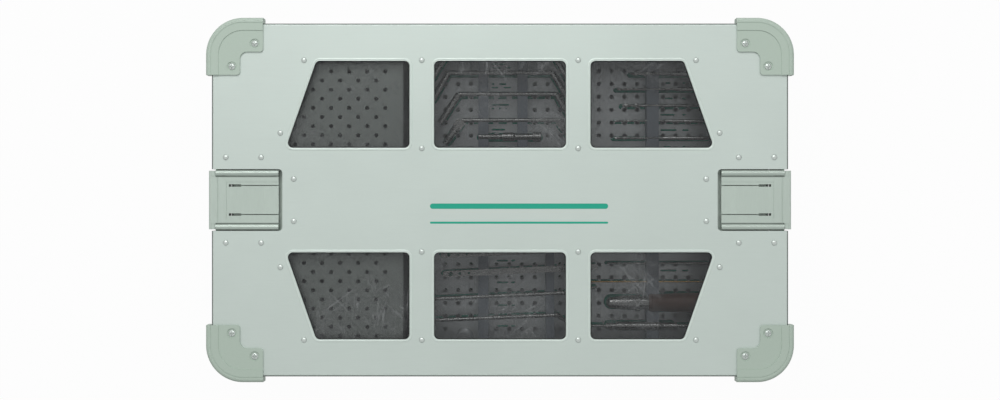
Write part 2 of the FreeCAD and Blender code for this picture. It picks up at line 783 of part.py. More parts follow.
def lid_hole_places():
    """Staggered drainage holes, left out in the middle and at the front left corner."""
    first_x = screw_box_x + hole_field_x - (hole_columns - 1) / 2 * hole_step_x
    first_y = hole_field_y + (hole_rows - 1) / 2 * hole_step_y
    places = []
    for row in range(hole_rows):
        odd = row % 2
        middle_row = bare_middle_first_row <= row <= bare_middle_last_row
        corner_row = row > bare_middle_last_row + 1
        for column in range(hole_columns - odd):
            in_middle = middle_row and bare_middle_first_column - odd <= column <= bare_middle_last_column
            in_corner = corner_row and column < bare_corner_columns - odd
            if not in_middle and not in_corner:
                places.append((first_x + (column + odd / 2) * hole_step_x, first_y - row * hole_step_y))
    return places


def hole_prism(x, y, z0, z1):
    """A drainage hole, drawn with a few flat sides because there are so many."""
    turns = [2 * math.pi * n / hole_sides for n in range(hole_sides)]
    corners = [Vector(x + hole_radius * math.cos(t), y + hole_radius * math.sin(t), z0) for t in turns]
    return Part.Face(Part.makePolygon(corners + corners[:1])).extrude(Vector(0, 0, z1 - z0))


def screw_rack():
    """A folded bench with long slots that stands in the screw box and carries the screws."""
    wall_out = -2 * box_sheet - screw_box_lid_gap - screw_rack_margin
    foot = floor_z + box_sheet
    top = foot + screw_rack_height
    bench = box_outline(wall_out, foot, top)
    hollow = box_outline(wall_out - box_sheet, foot - 1, top - box_sheet)
    bounds = bench.BoundBox
    pitch = bounds.YLength / (screw_rack_rows + 1)
    slots = []
    for row in range(1, screw_rack_rows + 1):
        y = bounds.YMin + row * pitch
        slots.append(block(bounds.XMin + 14, bounds.XMax - 14, y - screw_rack_slot_width / 2,
                           y + screw_rack_slot_width / 2, top - BEYOND, top + 1))
    return bench.cut([hollow] + slots)


def screw_box_hinges():
    """Two butt hinges on the left side: a leaf on the body, a leaf on the lid and a barrel."""
    lid_low = floor_z + screw_box_height - screw_box_lid_depth
    body_face = screw_box_left + box_sheet + screw_box_lid_gap
    barrel_x = screw_box_left - box_hinge_barrel
    barrel_z = lid_low - box_hinge_barrel
    hinges = []
    for y in (-box_hinge_offset, box_hinge_offset):
        y0, y1 = y - box_hinge_length / 2, y + box_hinge_length / 2
        barrel_start = Vector(barrel_x, y0, barrel_z)
        barrel = Part.makeCylinder(box_hinge_barrel, box_hinge_length, barrel_start, Vector(0, 1, 0))
        upper = block(screw_box_left - box_hinge_leaf, screw_box_left, y0, y1, barrel_z,
                      lid_low + box_hinge_upper)
        lower = block(body_face - box_hinge_leaf, body_face, y0, y1, barrel_z - box_hinge_lower, barrel_z)
        tie = block(barrel_x, body_face, y0, y1, barrel_z - box_hinge_leaf, barrel_z)
        hinges.append(fuse([barrel, upper, lower, tie]))
    return Part.makeCompound(hinges)


def screw_box_latch():
    """A flap on the lid's right side that buttons over a stud on the body."""
    face = screw_box_left + screw_box_length
    top = floor_z + screw_box_height - box_latch_height
    half = box_latch_half_width
    flap = block(face, face + box_latch_thickness, -half, half, top - box_latch_drop, top)
    flap = flap.makeFillet(box_latch_corner, [e for e in flap.Edges if e.BoundBox.XLength > 1])
    grip_half = half - box_latch_corner
    grip_start = Vector(face + box_latch_thickness, -grip_half, top - box_latch_drop + box_latch_grip_rise)
    solids = [flap, Part.makeCylinder(box_latch_grip_radius, 2 * grip_half, grip_start, Vector(0, 1, 0))]
    radius, length = box_latch_knuckle_radius, box_latch_knuckle_length
    knuckle_z = top - radius - box_latch_knuckle_drop
    for y in (box_latch_knuckle_inset - half, half - box_latch_knuckle_inset - length):
        start = Vector(face + radius, y, knuckle_z)
        solids.append(Part.makeCylinder(radius, length, start, Vector(0, 1, 0)))
    return fuse(solids)


# Instruments. Each takes grow, by which its holder notches are cut larger.
def bent_guide(bar_left, bar_right, foot_left, foot_right, sleeve_radius, grow=0.0):
    """A bar with a drill sleeve hung at an angle from each end."""
    a, b = at_tool(*bar_left), at_tool(*bar_right)
    solids = [rod(a, b, 2.2, grow)]
    bores = []
    for top, foot in ((a, at_tool(*foot_left)), (b, at_tool(*foot_right))):
        solids.append(rod(top, foot, sleeve_radius, grow))
        if not grow:
            away = foot.sub(top).normalize()
            bores.append(rod(top + away * 8, foot + away * 2, sleeve_radius - 1.3))
    guide = fuse(solids)
    return guide.cut(bores) if bores else guide


def block_guide(grow=0.0):
    """The guide with square blocks and short stepped tubes at its ends."""
    a, b = at_tool(48, 79.5), at_tool(144, 79.5)
    solids = [rod(a, b, 2.2, grow)]
    for top, foot in ((a, at_tool(30.5, 55.5)), (b, at_tool(161, 57))):
        away = foot.sub(top).normalize()
        reach = foot.sub(top).Length - 8
        cube = Part.makeBox(9, 9, 7, Vector(-4.5, -4.5, -3.5))
        cube.Placement = FreeCAD.Placement(top + away * 5, FreeCAD.Rotation(Vector(1, 0, 0), away))
        tube = turned(top + away * 8, foot, [(0, 4.6), (8, 4.6), (8, 3.2), (reach, 3.2)], grow)
        solids += [cube, tube]
    return fuse(solids)


def obturator_sleeve(x, y, length, collar, grow=0.0):
    """A stepped protection sleeve: nose flange, neck, fat collar, taper and long tube."""
    start, end = at_tool(x, y), at_tool(x + length, y)
    c = collar - x
    stations = [(0, 4.2), (4, 4.2), (4, 5.8), (9, 5.8), (9, 3.8), (c - 8, 3.8), (c - 8, 6.2), (c, 7.6),
                (c + 9, 5.4), (c + 14, 5.4), (c + 14, 3.6), (length, 3.6)]
    return turned(start, end, stations, grow)


def flat_bar(start, end, wide, thick, grow=0.0):
    """A flat bar with round ends, lying on its face."""
    length = end.sub(start).Length
    half = wide / 2 + grow
    bar = block(-grow, length + grow, -half, half, -thick / 2 - grow, thick / 2 + grow)
    bar = bar.makeFillet(half - 0.02, upright_edges(bar))
    bar.Placement = FreeCAD.Placement(start, FreeCAD.Rotation(Vector(1, 0, 0), end.sub(start)))
    return bar


def bending_iron(start, end, grow=0.0):
    iron = flat_bar(at_tool(*start), at_tool(*end), 6.0, 4.0, grow)
    if grow:
        return iron
    holes = []
    for distance, radius in ((8, 2.0), (17, 1.5), (26, 1.2)):
        place = at_tool(start[0] + distance, start[1] + distance * (end[1] - start[1]) / (end[0] - start[0]))
        holes.append(Part.makeCylinder(radius, 12, place - Vector(0, 0, 6)))
    return iron.cut(holes)


def hook(start, knee, tip, grow=0.0):
    """A round shaft that turns at a knee into a tapering hook."""
    a, b, c = at_tool(*start), at_tool(*knee), at_tool(*tip)
    reach = c.sub(b).Length
    shaft = rod(a, b, hook_radius, grow)
    beak = turned(b, c, [(0, hook_radius), (reach * 0.6, hook_waist_radius), (reach, hook_tip_radius)], grow)
    return fuse([shaft, Part.makeSphere(hook_knee_radius + grow, b), beak])


def depth_gauge(grow=0.0):
    start, end = at_tool(62.5, -150), at_tool(243, -150)
    stations = [(0, 1.4), (46.5, 1.4), (46.5, 5.0), (155, 5.0), (155, 6.6), (168, 6.6), (168, 2.0),
                (180.5, 2.0)]
    return turned(start, end, stations, grow)


def forceps(grow=0.0):
    """Two leaf blades that meet at the back, drawn as tapering strips."""
    x, y = 217.0, 144.0
    solids = []
    for side in (-1, 1):
        tip, back = at_tool(x, y + side * 1.5), at_tool(x + 94, y + side * 3.0)
        solids.append(flat_bar(tip, back, 2.2, 6.0, grow))
    solids.append(flat_bar(at_tool(x + 88, y), at_tool(x + 98.7, y), 9.0, 6.0, grow))
    return fuse(solids)


def drill(x0, x1, y, bit_radius, bit_length, shank_radius, grow=0.0):
    """A bit, its shank and the thicker quick-coupling end."""
    length = x1 - x0
    coupling = length - 14
    stations = [(0, 0.2), (2 * bit_radius, bit_radius), (bit_length, bit_radius),
                (bit_length + 2, shank_radius), (coupling, shank_radius), (coupling, 2.2), (length, 2.2)]
    return turned(at_tool(x0, y), at_tool(x1, y), stations, grow)


def drill_set(grow=0.0):
    """Drills, taps, countersinks and driver shafts in the right-hand rows, rear to front.

    Each row: start and end in x, y, bit radius, bit length, shank radius.
    """
    rows = [(215, 308, 126.0, 1.9, 40, 2.2), (201, 326, 110.5, 1.4, 60, 1.9),
            (206.5, 315.5, 94.2, 1.8, 22, 1.6), (198.5, 317, 78.7, 1.1, 50, 1.6),
            (198.5, 327, 61.7, 1.4, 50, 1.8), (187, 318, 46.7, 1.2, 60, 1.6),
            (179.5, 337, 29.4, 1.0, 80, 1.6), (174.5, 331.5, 12.5, 1.6, 70, 1.9),
            (146, 322, -5.0, 1.4, 90, 1.7), (147.5, 323, -21.4, 1.0, 95, 1.6),
            (192, 326, -63.0, 0.9, 70, 1.3)]
    return [drill(*row, grow) for row in rows]


def guide_sleeve(grow=0.0):
    stations = [(0, 2.6), (24, 2.6), (24, 4.4), (34, 4.4), (36, 3.4), (54, 3.4), (54, 5.0), (62, 5.0)]
    return turned(at_tool(64.5, 63), at_tool(126.5, 63), stations, grow)


def trocar_sleeve(grow=0.0):
    stations = [(0, 3.6), (8, 3.6), (8, 2.4), (60, 2.4), (60, 3.2), (68.5, 3.2)]
    return turned(at_tool(57, 43), at_tool(125.5, 43), stations, grow)


def hook_gauge(grow=0.0):
    return hook((319, -39.2), (200, -39.2), (158, -42.6), grow)


def guide_wire(grow=0.0):
    return rod(at_tool(164, -81.3), at_tool(333.5, -81.3), 0.8, grow)


def driver_chuck(grow=0.0):
    stations = [(0, 2.4), (3, 5.4), (24, 7.4), (28.5, 7.4), (28.5, 8.6), (33, 8.6), (33, 6.6), (42, 6.6)]
    return turned(at_tool(191.5, -102.3), at_tool(233.5, -102.3), stations, grow)


def driver_handle(grow=0.0):
    """A long round grip, waisted behind its front collar, with a domed butt."""
    length = tool_field_length - 233.5
    dome = [(length - 10 + 10 * math.sin(a), 10.2 * math.cos(a)) for a in (0, 0.4, 0.8, 1.1, 1.35)]
    stations = [(0, 8.0), (3, 9.0), (10, 8.6), (30, 9.6), (60, 10.2)] + dome
    return turned(at_tool(233.5, -102.3), at_tool(tool_field_length, -102.3), stations, grow)


def holding_sleeve(grow=0.0):
    stations = [(0, 1.4), (23.5, 1.4), (23.5, 3.0), (33.5, 3.0), (33.5, 4.4), (76, 4.4), (80, 3.4),
                (94.5, 3.4), (94.5, 1.8), (171, 1.8)]
    return turned(at_tool(167.5, -125.5), at_tool(338.5, -125.5), stations, grow)


def instruments(grow=0.0):
    """Every instrument by node name, as a list of solids."""
    return {
        "drill_guide_long": [bent_guide((34, 147.3), (138, 147.3), (12, 112.5), (158, 113), 3.0, grow)],
        "drill_guide_medium": [bent_guide((34, 127), (138, 127), (17, 97), (166, 80), 3.0, grow)],
        "drill_guide_short": [bent_guide((44.5, 105.5), (142, 105.5), (25.5, 76), (159.5, 76), 3.2, grow)],
        "drill_guide_block": [block_guide(grow)],
        "guide_sleeve": [guide_sleeve(grow)],
        "trocar_sleeve": [trocar_sleeve(grow)],
        "protection_sleeve_small": [obturator_sleeve(52.5, 21.2, 75, 85.5, grow)],
        "protection_sleeve_medium": [obturator_sleeve(45.5, -6, 79.5, 77, grow)],
        "protection_sleeve_large": [obturator_sleeve(54.5, -31.5, 80.5, 88, grow)],
        "bending_irons": [bending_iron((26.5, -54.7), (189, -47.6), grow),
                          bending_iron((28.5, -74), (183, -66.4), grow)],
        "sharp_hook": [hook((15, -98.8), (157, -92), (181.5, -86.5), grow)],
        "bone_hook": [hook((16, -120), (142, -114.6), (171, -133), grow)],
        "depth_gauge": [depth_gauge(grow)],
        "forceps": [forceps(grow)],
        "drills_and_taps": drill_set(grow),
        "hook_gauge": [hook_gauge(grow)],
        "guide_wire": [guide_wire(grow)],
        "driver_chuck": [driver_chuck(grow)],
        "driver_handle": [driver_handle(grow)],
        "holding_sleeve": [holding_sleeve(grow)],
    }


# Holder strips, each x from the tray's left side, its width and its reach in y
def holder_strips():
    full = tray_width / 2 - tray_wall_gap - holder_end_gap - tray_bend_reach
    strips = {
        "holder_strip_left": (68.9, 10.0, -full, full),
        "holder_strip_centre": (108.0, 10.0, -44.0, full),
        "holder_strip_short": (135.4, 8.0, -full, -40.0),
        "holder_strip_inner_right": (237.6, 12.0, -full, full),
        "holder_strip_right": (302.4, 13.0, -full, full),
    }
    cutters = [solid for solids in instruments(holder_clearance).values() for solid in solids]
    made = {}
    for node, (x, wide, y0, y1) in strips.items():
        left = tray_left + x - wide / 2
        strip = block(left, left + wide, y0, y1, tray_floor_z, tray_floor_z + holder_height)
        near = [c for c in cutters if c.BoundBox.intersect(strip.BoundBox)]
        made[node] = strip.cut(near)
    return made


def build():
    export(base_shell(), "base_shell")
    corner_names = ("rear_right", "rear_left", "front_right", "front_left")
    for name, post, guard in zip(corner_names, four_ways(corner_post()), four_ways(lid_guard())):
        export(post, "corner_post_" + name)
        export(guard, "lid_guard_" + name)
    export(screw_box_guides(), "screw_box_guides")
    export(lid_panel(), "lid_panel")
    export(window_pane(), "window_pane_rear")
    export(flip_y(window_pane()), "window_pane_front")
    export(lid_guard_screws(), "lid_guard_screws")
    export(lid_rivets(), "lid_rivets")
    latch_pieces = {
        "latch_housing": latch_housing(),
        "latch_lever": latch_lever(),
        "latch_pin": latch_pin(),
        "latch_spring": latch_spring(),
        "strike_plate": strike_plate(),
    }
    for name, piece in latch_pieces.items():
        export(piece, name + "_right")
        export(flip_x(piece), name + "_left")
    export(strike_rivets(), "strike_rivets")
    export(tray(lower_tray_z), "lower_tray")
    export(tray(upper_tray_z).cut(bail_holes()), "upper_tray")
    left_bail = bail()
    export(left_bail, "tray_bail_left")
    export(left_bail.mirror(Vector(tray_x, 0, 0), Vector(1, 0, 0)), "tray_bail_right")
    export(screw_box_body(), "screw_box_body")
    export(screw_box_lid(), "screw_box_lid")
    export(screw_rack(), "screw_rack")
    export(screw_box_hinges(), "screw_box_hinges")
    export(screw_box_latch(), "screw_box_latch")
    for node, strip in holder_strips().items():
        export(strip, node)
    for node, solids in instruments().items():
        export(solids[0] if len(solids) == 1 else Part.makeCompound(solids), node)


build()
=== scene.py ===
import bmesh
import bpy
import numpy as np
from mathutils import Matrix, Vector


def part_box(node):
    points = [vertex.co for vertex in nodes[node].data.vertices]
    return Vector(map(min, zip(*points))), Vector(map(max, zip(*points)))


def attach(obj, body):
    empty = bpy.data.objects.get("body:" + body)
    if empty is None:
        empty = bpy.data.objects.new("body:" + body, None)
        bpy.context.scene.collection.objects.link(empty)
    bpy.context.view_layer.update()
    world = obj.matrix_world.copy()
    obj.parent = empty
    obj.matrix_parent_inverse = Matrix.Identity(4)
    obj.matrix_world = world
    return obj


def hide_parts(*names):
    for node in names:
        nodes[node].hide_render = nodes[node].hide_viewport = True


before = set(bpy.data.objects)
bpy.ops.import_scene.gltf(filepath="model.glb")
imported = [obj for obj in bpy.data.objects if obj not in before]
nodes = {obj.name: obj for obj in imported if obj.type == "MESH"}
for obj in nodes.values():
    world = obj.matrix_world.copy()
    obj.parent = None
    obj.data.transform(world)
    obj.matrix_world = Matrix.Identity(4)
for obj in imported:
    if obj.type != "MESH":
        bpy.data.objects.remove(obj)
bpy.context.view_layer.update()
print("frame loaded:", len(nodes), "nodes")

mm = 0.001  # sizes below are in millimetres where a name ends in Mm
bothEnds = (("Right", 1), ("Left", -1))  # of the case, along X


# Mesh tools: every surface is a grid of points, rows along a path and columns round a profile

def gridFaces(rows, cols, closedRows=False, closedCols=True):
    # Quads between neighbours of a rows by cols grid of points, wrapped round where it is closed.
    r = np.arange(rows if closedRows else rows - 1)[:, None]
    c = np.arange(cols if closedCols else cols - 1)[None, :]
    rNext = (r + 1) % rows
    cNext = (c + 1) % cols
    corners = np.broadcast_arrays(r * cols + c, rNext * cols + c, rNext * cols + cNext, r * cols + cNext)
    return np.stack(corners, -1).reshape(-1, 4).tolist()


def cappedFaces(rows, cols):
    # The wall of a closed tube of points and a flat face over each of its ends.
    return gridFaces(rows, cols) + [list(range(cols)), list(range((rows - 1) * cols, rows * cols))]


def fan(start, count, tip):
    # Triangles from a ring of points, whose first is the start, to one more point.
    return [[start + i, start + (i + 1) % count, tip] for i in range(count)]


def joinParts(parts):
    # One list of points and faces from several, each part's faces shifted by the points before it.
    points, faces, start = [], [], 0
    for partPoints, partFaces in parts:
        points.append(partPoints)
        faces += [[start + i for i in face] for face in partFaces]
        start += len(partPoints)
    return np.concatenate(points), faces


def addPiece(name, points, faces, material, body, slotName, stands=(), smoothAngle=0.6, flat=False):
    # A welded mesh object at the origin that rides on a body, its normals turned outwards.
    #
    # A flat one is an open sheet whose faces are already wound to look up.
    weldDistance = 2e-7
    mesh = bpy.data.meshes.new(name)
    mesh.from_pydata(np.asarray(points, float).tolist(), [], faces)
    work = bmesh.new()
    work.from_mesh(mesh)
    bmesh.ops.remove_doubles(work, verts=work.verts, dist=weldDistance)
    if not flat:
        bmesh.ops.recalc_face_normals(work, faces=work.faces)
    work.to_mesh(mesh)
    work.free()
    mesh.polygons.foreach_set("use_smooth", np.ones(len(mesh.polygons), bool))
    mesh.set_sharp_from_angle(angle=smoothAngle)
    mesh.materials.append(material)
    piece = bpy.data.objects.new(name, mesh)
    bpy.context.collection.objects.link(piece)
    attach(piece, body)
    if stands:
        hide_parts(*stands)
    return piece


def unit(vectors):
    # Each row divided by its own length.
    return vectors / np.linalg.norm(vectors, axis=-1, keepdims=True)


def rays(angles):
    # Unit vectors (cosine, sine) in the plane.
    return np.stack([np.cos(angles), np.sin(angles)], -1)


def fullTurn(count):
    # Angles in equal steps once round.
    return np.linspace(0, 2 * np.pi, count, endpoint=False)


def level(points, z):
    # Flat points with a height: one number, or one for each point.
    height = np.broadcast_to(z, points.shape[:-1])
    return np.concatenate([points, height[..., None]], -1)


def roundedOutline(corners, radius, arcSteps=8):
    # A polygon's outline with each corner an arc that touches both of its sides.
    corners = np.asarray(corners, float)
    toLast = unit(np.roll(corners, 1, 0) - corners)
    toNext = unit(np.roll(corners, -1, 0) - corners)
    half = np.arccos((toLast * toNext).sum(1)) / 2
    centre = corners + unit(toLast + toNext) * (radius / np.sin(half))[:, None]
    first = corners + toLast * (radius / np.tan(half))[:, None] - centre
    last = corners + toNext * (radius / np.tan(half))[:, None] - centre
    startAngle = np.arctan2(first[:, 1], first[:, 0])
    sweep = (np.arctan2(last[:, 1], last[:, 0]) - startAngle + np.pi) % (2 * np.pi) - np.pi
    angle = startAngle[:, None] + sweep[:, None] * np.linspace(0, 1, arcSteps)
    return (centre[:, None] + radius * rays(angle)).reshape(-1, 2)


def carryProfile(outline, profile, z):
    # A closed profile of (outward, upward) places carried along a closed flat outline at height z.
    along = unit(np.roll(outline, -1, 0) - np.roll(outline, 1, 0))
    outward = np.stack([along[:, 1], -along[:, 0]], -1)
    flat = outline[:, None] + outward[:, None] * profile[None, :, :1]
    points = level(flat, z + profile[:, 1]).reshape(-1, 3)
    return points, gridFaces(len(outline), len(profile), closedRows=True)


def tube(path, side, radius, sides):
    # A round section carried along an open path; side is a vector square to the path at each point.
    along = unit(np.gradient(path, axis=0))
    side = unit(side - along * (side * along).sum(1)[:, None])
    over = np.cross(along, side)
    turn = fullTurn(sides)
    radius = np.broadcast_to(radius, len(path))
    ring = side[:, None] * np.cos(turn)[None, :, None] + over[:, None] * np.sin(turn)[None, :, None]
    points = (path[:, None] + ring * radius[:, None, None]).reshape(-1, 3)
    return points, cappedFaces(len(path), sides)


def revolve(profile, steps=24):
    # A solid of revolution about Z from (radius, height) places; the first and last lie on the axis.
    inner = profile[1:-1]
    flat = inner[:, None, :1] * rays(fullTurn(steps))[None]
    points = level(flat, inner[:, 1:]).reshape(-1, 3)
    ends = np.array([[0, 0, profile[0, 1]], [0, 0, profile[-1, 1]]])
    count = len(points)
    caps = fan(0, steps, count) + fan(count - steps, steps, count + 1)
    return np.concatenate([points, ends]), gridFaces(len(inner), steps) + caps


def roundedPath(corners, radius):
    # An open path through the corners, each inner one a quadratic curve about as tight as the radius.
    corners = np.asarray(corners, float)
    pieces = [corners[:1]]
    t = np.linspace(0, 1, 7)[:, None]
    for last, corner, following in zip(corners, corners[1:], corners[2:]):
        back, ahead = unit(last - corner), unit(following - corner)
        reach = radius / np.tan(np.arccos(np.clip(back @ ahead, -1, 1)) / 2)
        pieces.append(corner + back * reach * (1 - t) ** 2 + ahead * reach * t**2)
    return np.concatenate(pieces + [corners[-1:]])


def slab(outline, low, high):
    # A flat plate: the outline as lower and upper rim, walls between them and a flat face on each.
    points = np.concatenate([level(outline, low), level(outline, high)])
    return points, cappedFaces(2, len(outline))


def copiesAt(part, places):
    # One joined mesh of the same part set down at each place.
    points, faces = part
    return joinParts([(points + place, faces) for place in np.asarray(places, float)])


def fourWays(x, y, z):
    # The place and its mirror images across the case's two middle planes.
    return [(sx * x, sy * y, z) for sx in (1, -1) for sy in (1, -1)]


# Materials: node graphs on object coordinates, so a pattern stays with its piece

def newMaterial(name, baseColor, metallic, roughness, **sockets):
    # A material whose shader's plain sockets are set here; returns it with its noise maker.
    material = bpy.data.materials.new(name)
    material.use_nodes = True
    tree = material.node_tree
    shader = tree.nodes["Principled BSDF"]
    shader.inputs["Base Color"].default_value = (*baseColor, 1)
    shader.inputs["Metallic"].default_value = metallic
    shader.inputs["Roughness"].default_value = roughness
    for socket, value in sockets.items():
        shader.inputs[socket].default_value = value
    coords = tree.nodes.new("ShaderNodeTexCoord")

    def noise(stretch, scale, detail=4.0, rough=0.6):
        # Cloudy values from 0 to 1, finer as the scale grows, drawn out where the stretch is small.
        mapping = tree.nodes.new("ShaderNodeMapping")
        mapping.inputs["Scale"].default_value = stretch
        tree.links.new(coords.outputs["Object"], mapping.inputs["Vector"])
        texture = tree.nodes.new("ShaderNodeTexNoise")
        texture.inputs["Scale"].default_value = scale
        texture.inputs["Detail"].default_value = detail
        texture.inputs["Roughness"].default_value = rough
        tree.links.new(mapping.outputs["Vector"], texture.inputs["Vector"])
        return texture.outputs["Fac"]

    return material, tree, shader, noise


def calculate(tree, operation, first, second=0.0):
    # One sum on two values, each a node's output or a plain number.
    node = tree.nodes.new("ShaderNodeMath")
    node.operation = operation
    for socket, value in zip(node.inputs, (first, second)):
        if isinstance(value, float):
            socket.default_value = value
        else:
            tree.links.new(value, socket)
    return node.outputs[0]


def rangeOf(tree, value, fromLow, fromHigh, toLow, toHigh):
    # A straight ramp from one range to another, held level past its ends.
    node = tree.nodes.new("ShaderNodeMapRange")
    names = ("From Min", "From Max", "To Min", "To Max")
    for name, number in zip(names, (fromLow, fromHigh, toLow, toHigh)):
        node.inputs[name].default_value = number
    tree.links.new(value, node.inputs["Value"])
    return node.outputs["Result"]


def spread(tree, noiseValue, low, high):
    # Maps a noise value on to the range from low to high.
    usualLow, usualHigh = 0.3, 0.7
    return rangeOf(tree, noiseValue, usualLow, usualHigh, low, high)


def objectPart(tree, output, axis):
    # One axis of the object's own coordinates or normal.
    coords = tree.nodes.new("ShaderNodeTexCoord")
    split = tree.nodes.new("ShaderNodeSeparateXYZ")
    tree.links.new(coords.outputs[output], split.inputs[0])
    return split.outputs[axis]


def blendColors(tree, factor, colorA, colorB):
    # From color A, plain or a node's output, to plain color B as the factor goes from 0 to 1.
    node = tree.nodes.new("ShaderNodeMix")
    node.data_type = "RGBA"
    if isinstance(colorA, tuple):
        node.inputs[6].default_value = (*colorA, 1)
    else:
        tree.links.new(colorA, node.inputs[6])
    node.inputs[7].default_value = (*colorB, 1)
    tree.links.new(factor, node.inputs[0])
    return node.outputs[2]


def bump(tree, shader, height, strength, distance):
    # Tilts the shading as if the surface rose and fell by this distance.
    node = tree.nodes.new("ShaderNodeBump")
    node.inputs["Strength"].default_value = strength
    node.inputs["Distance"].default_value = distance
    tree.links.new(height, node.inputs["Height"])
    tree.links.new(node.outputs["Normal"], shader.inputs["Normal"])


def finish(name, color, metallic, roughness, stretch=(1, 1, 1), grain=900.0, tone=0.05, bumpMm=0.02):
    # A plain finish: a fine grain in bump and roughness; tone is half that grain and half a slow cloud.
    cloudScale, roughSpread, bumpStrength = 9.0, 0.06, 0.35
    material, tree, shader, noise = newMaterial(name, color, metallic, roughness)
    fine = noise(stretch, grain)
    slow = noise((1, 1, 1), cloudScale, 2.0)
    dark = tuple(c * (1 - tone) for c in color)
    light = tuple(min(c * (1 + tone), 1.0) for c in color)
    mixed = calculate(tree, "ADD", spread(tree, fine, 0.0, 0.5), spread(tree, slow, 0.0, 0.5))
    rough = spread(tree, fine, roughness - roughSpread, roughness + roughSpread)
    tree.links.new(blendColors(tree, mixed, dark, light), shader.inputs["Base Color"])
    tree.links.new(rough, shader.inputs["Roughness"])
    bump(tree, shader, fine, bumpStrength, bumpMm * mm)
    return material


def scaleColor(material, factor):
    # Multiplies a material's color by the number that a node gives.
    tree = material.node_tree
    socket = tree.nodes["Principled BSDF"].inputs["Base Color"]
    scale = tree.nodes.new("ShaderNodeVectorMath")
    scale.operation = "SCALE"
    tree.links.new(socket.links[0].from_socket, scale.inputs[0])
    tree.links.new(factor, scale.inputs["Scale"])
    tree.links.new(scale.outputs[0], socket)


def paintShadeOnRoll(material, topMm, edge):
    # Painted shade: darkens the rolled edge below a top face, and the wall under it a little, and lowers the
    # edge's specular, to stand in for the shade where the edge turns away from the light.
    tree = material.node_tree
    height = objectPart(tree, "Object", "Z")
    darkest, footMm = edge["rollShare"], topMm - edge["rollMm"]
    darkMm, clearMm = topMm - edge["darkMm"], topMm - edge["clearMm"]
    onRoll = rangeOf(tree, height, darkMm * mm, clearMm * mm, darkest, 1.0)
    onWall = rangeOf(tree, height, (footMm - 1) * mm, footMm * mm, edge["wallShare"], 0.0)
    share = calculate(tree, "MAXIMUM", onRoll, onWall)
    scaleColor(material, share)
    specular = tree.nodes["Principled BSDF"].inputs["Specular IOR Level"]
    tree.links.new(rangeOf(tree, share, darkest, 1.0, *edge["specular"]), specular)


def paintLeverHighlightAndShade(material, sheet):
    # Along the lever's two sides the rolled edge gets a painted highlight and the groove inside it painted
    # shade.
    tree = material.node_tree

    def step(axis, placeMm, blurMm, before, after):
        away = calculate(tree, "ABSOLUTE", objectPart(tree, "Object", axis))
        return rangeOf(tree, away, (placeMm - blurMm) * mm, (placeMm + blurMm) * mm, before, after)

    roll = step("Y", sheet["rollMm"], sheet["blurMm"], 0.0, sheet["rollChange"])
    groove = step("Y", sheet["grooveMm"], sheet["blurMm"], 0.0, sheet["grooveChange"])
    within = step("X", sheet["endMm"], sheet["endBlurMm"], 1.0, 0.0)
    change = calculate(tree, "MULTIPLY", calculate(tree, "ADD", roll, groove), within)
    scaleColor(material, calculate(tree, "ADD", change, 1.0))


def paintTopEdgeHighlight(material, edge):
    # Painted highlight: near the top, faces that look up, the sheet's cut edges, are blended towards a paler
    # green, as if lit from above.
    tree = material.node_tree
    socket = tree.nodes["Principled BSDF"].inputs["Base Color"]
    facing = rangeOf(tree, objectPart(tree, "Normal", "Z"), *edge["facing"], 0.0, 1.0)
    fromMm, fullMm = edge["heightMm"]
    height = rangeOf(tree, objectPart(tree, "Object", "Z"), fromMm * mm, fullMm * mm, 0.0, 1.0)
    share = calculate(tree, "MULTIPLY", facing, height)
    tree.links.new(blendColors(tree, share, socket.links[0].from_socket, edge["color"]), socket)


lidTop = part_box("lid_rivets")[0][2]
brushedX = (0.04, 1, 1)  # grain drawn out along X
# settings of the painted shade on the lid's rolled edge and the wall below it
rolledEdgeShade = {"rollMm": 2.0, "darkMm": 0.35, "clearMm": 0.02, "rollShare": 0.24, "wallShare": 0.9,
              "specular": (0.03, 0.5)}
# painted highlight on the green sheet's up-facing top edges
topEdgeHighlight = {"heightMm": (58.0, 60.0), "facing": (0.6, 0.9), "color": (0.17, 0.60, 0.29)}
# places and strengths of the painted highlight on the lever's rolls and the painted shade in their grooves
leverPaintedLight = {"grooveMm": 22.2, "rollMm": 23.2, "blurMm": 0.15, "rollChange": 0.4, "grooveChange": -0.52,
              "endMm": 276.3, "endBlurMm": 0.2}
latchFinish = ((0.445, 0.52, 0.468), 0.35, 0.36, (1, 0.1, 1), 900, 0.04)

lidSheet = finish("lidSheet", (0.515, 0.585, 0.548), 0.35, 0.47, brushedX, 1300, 0.035, 0.015)
paintShadeOnRoll(lidSheet, lidTop / mm, rolledEdgeShade)
# the window beads are painted paler than the lid, a painted highlight for the light their edges catch
windowEdgeHighlight = finish("windowEdgeHighlight", (0.60, 0.68, 0.635), 0.2, 0.4, grain=600)
greenSheet = finish("greenSheet", (0.030, 0.105, 0.058), 0.45, 0.36, brushedX, 900, 0.12)
paintTopEdgeHighlight(greenSheet, topEdgeHighlight)
guardNylon = finish("guardNylon", (0.45, 0.545, 0.47), 0.0, 0.5, grain=1500, tone=0.03, bumpMm=0.03)
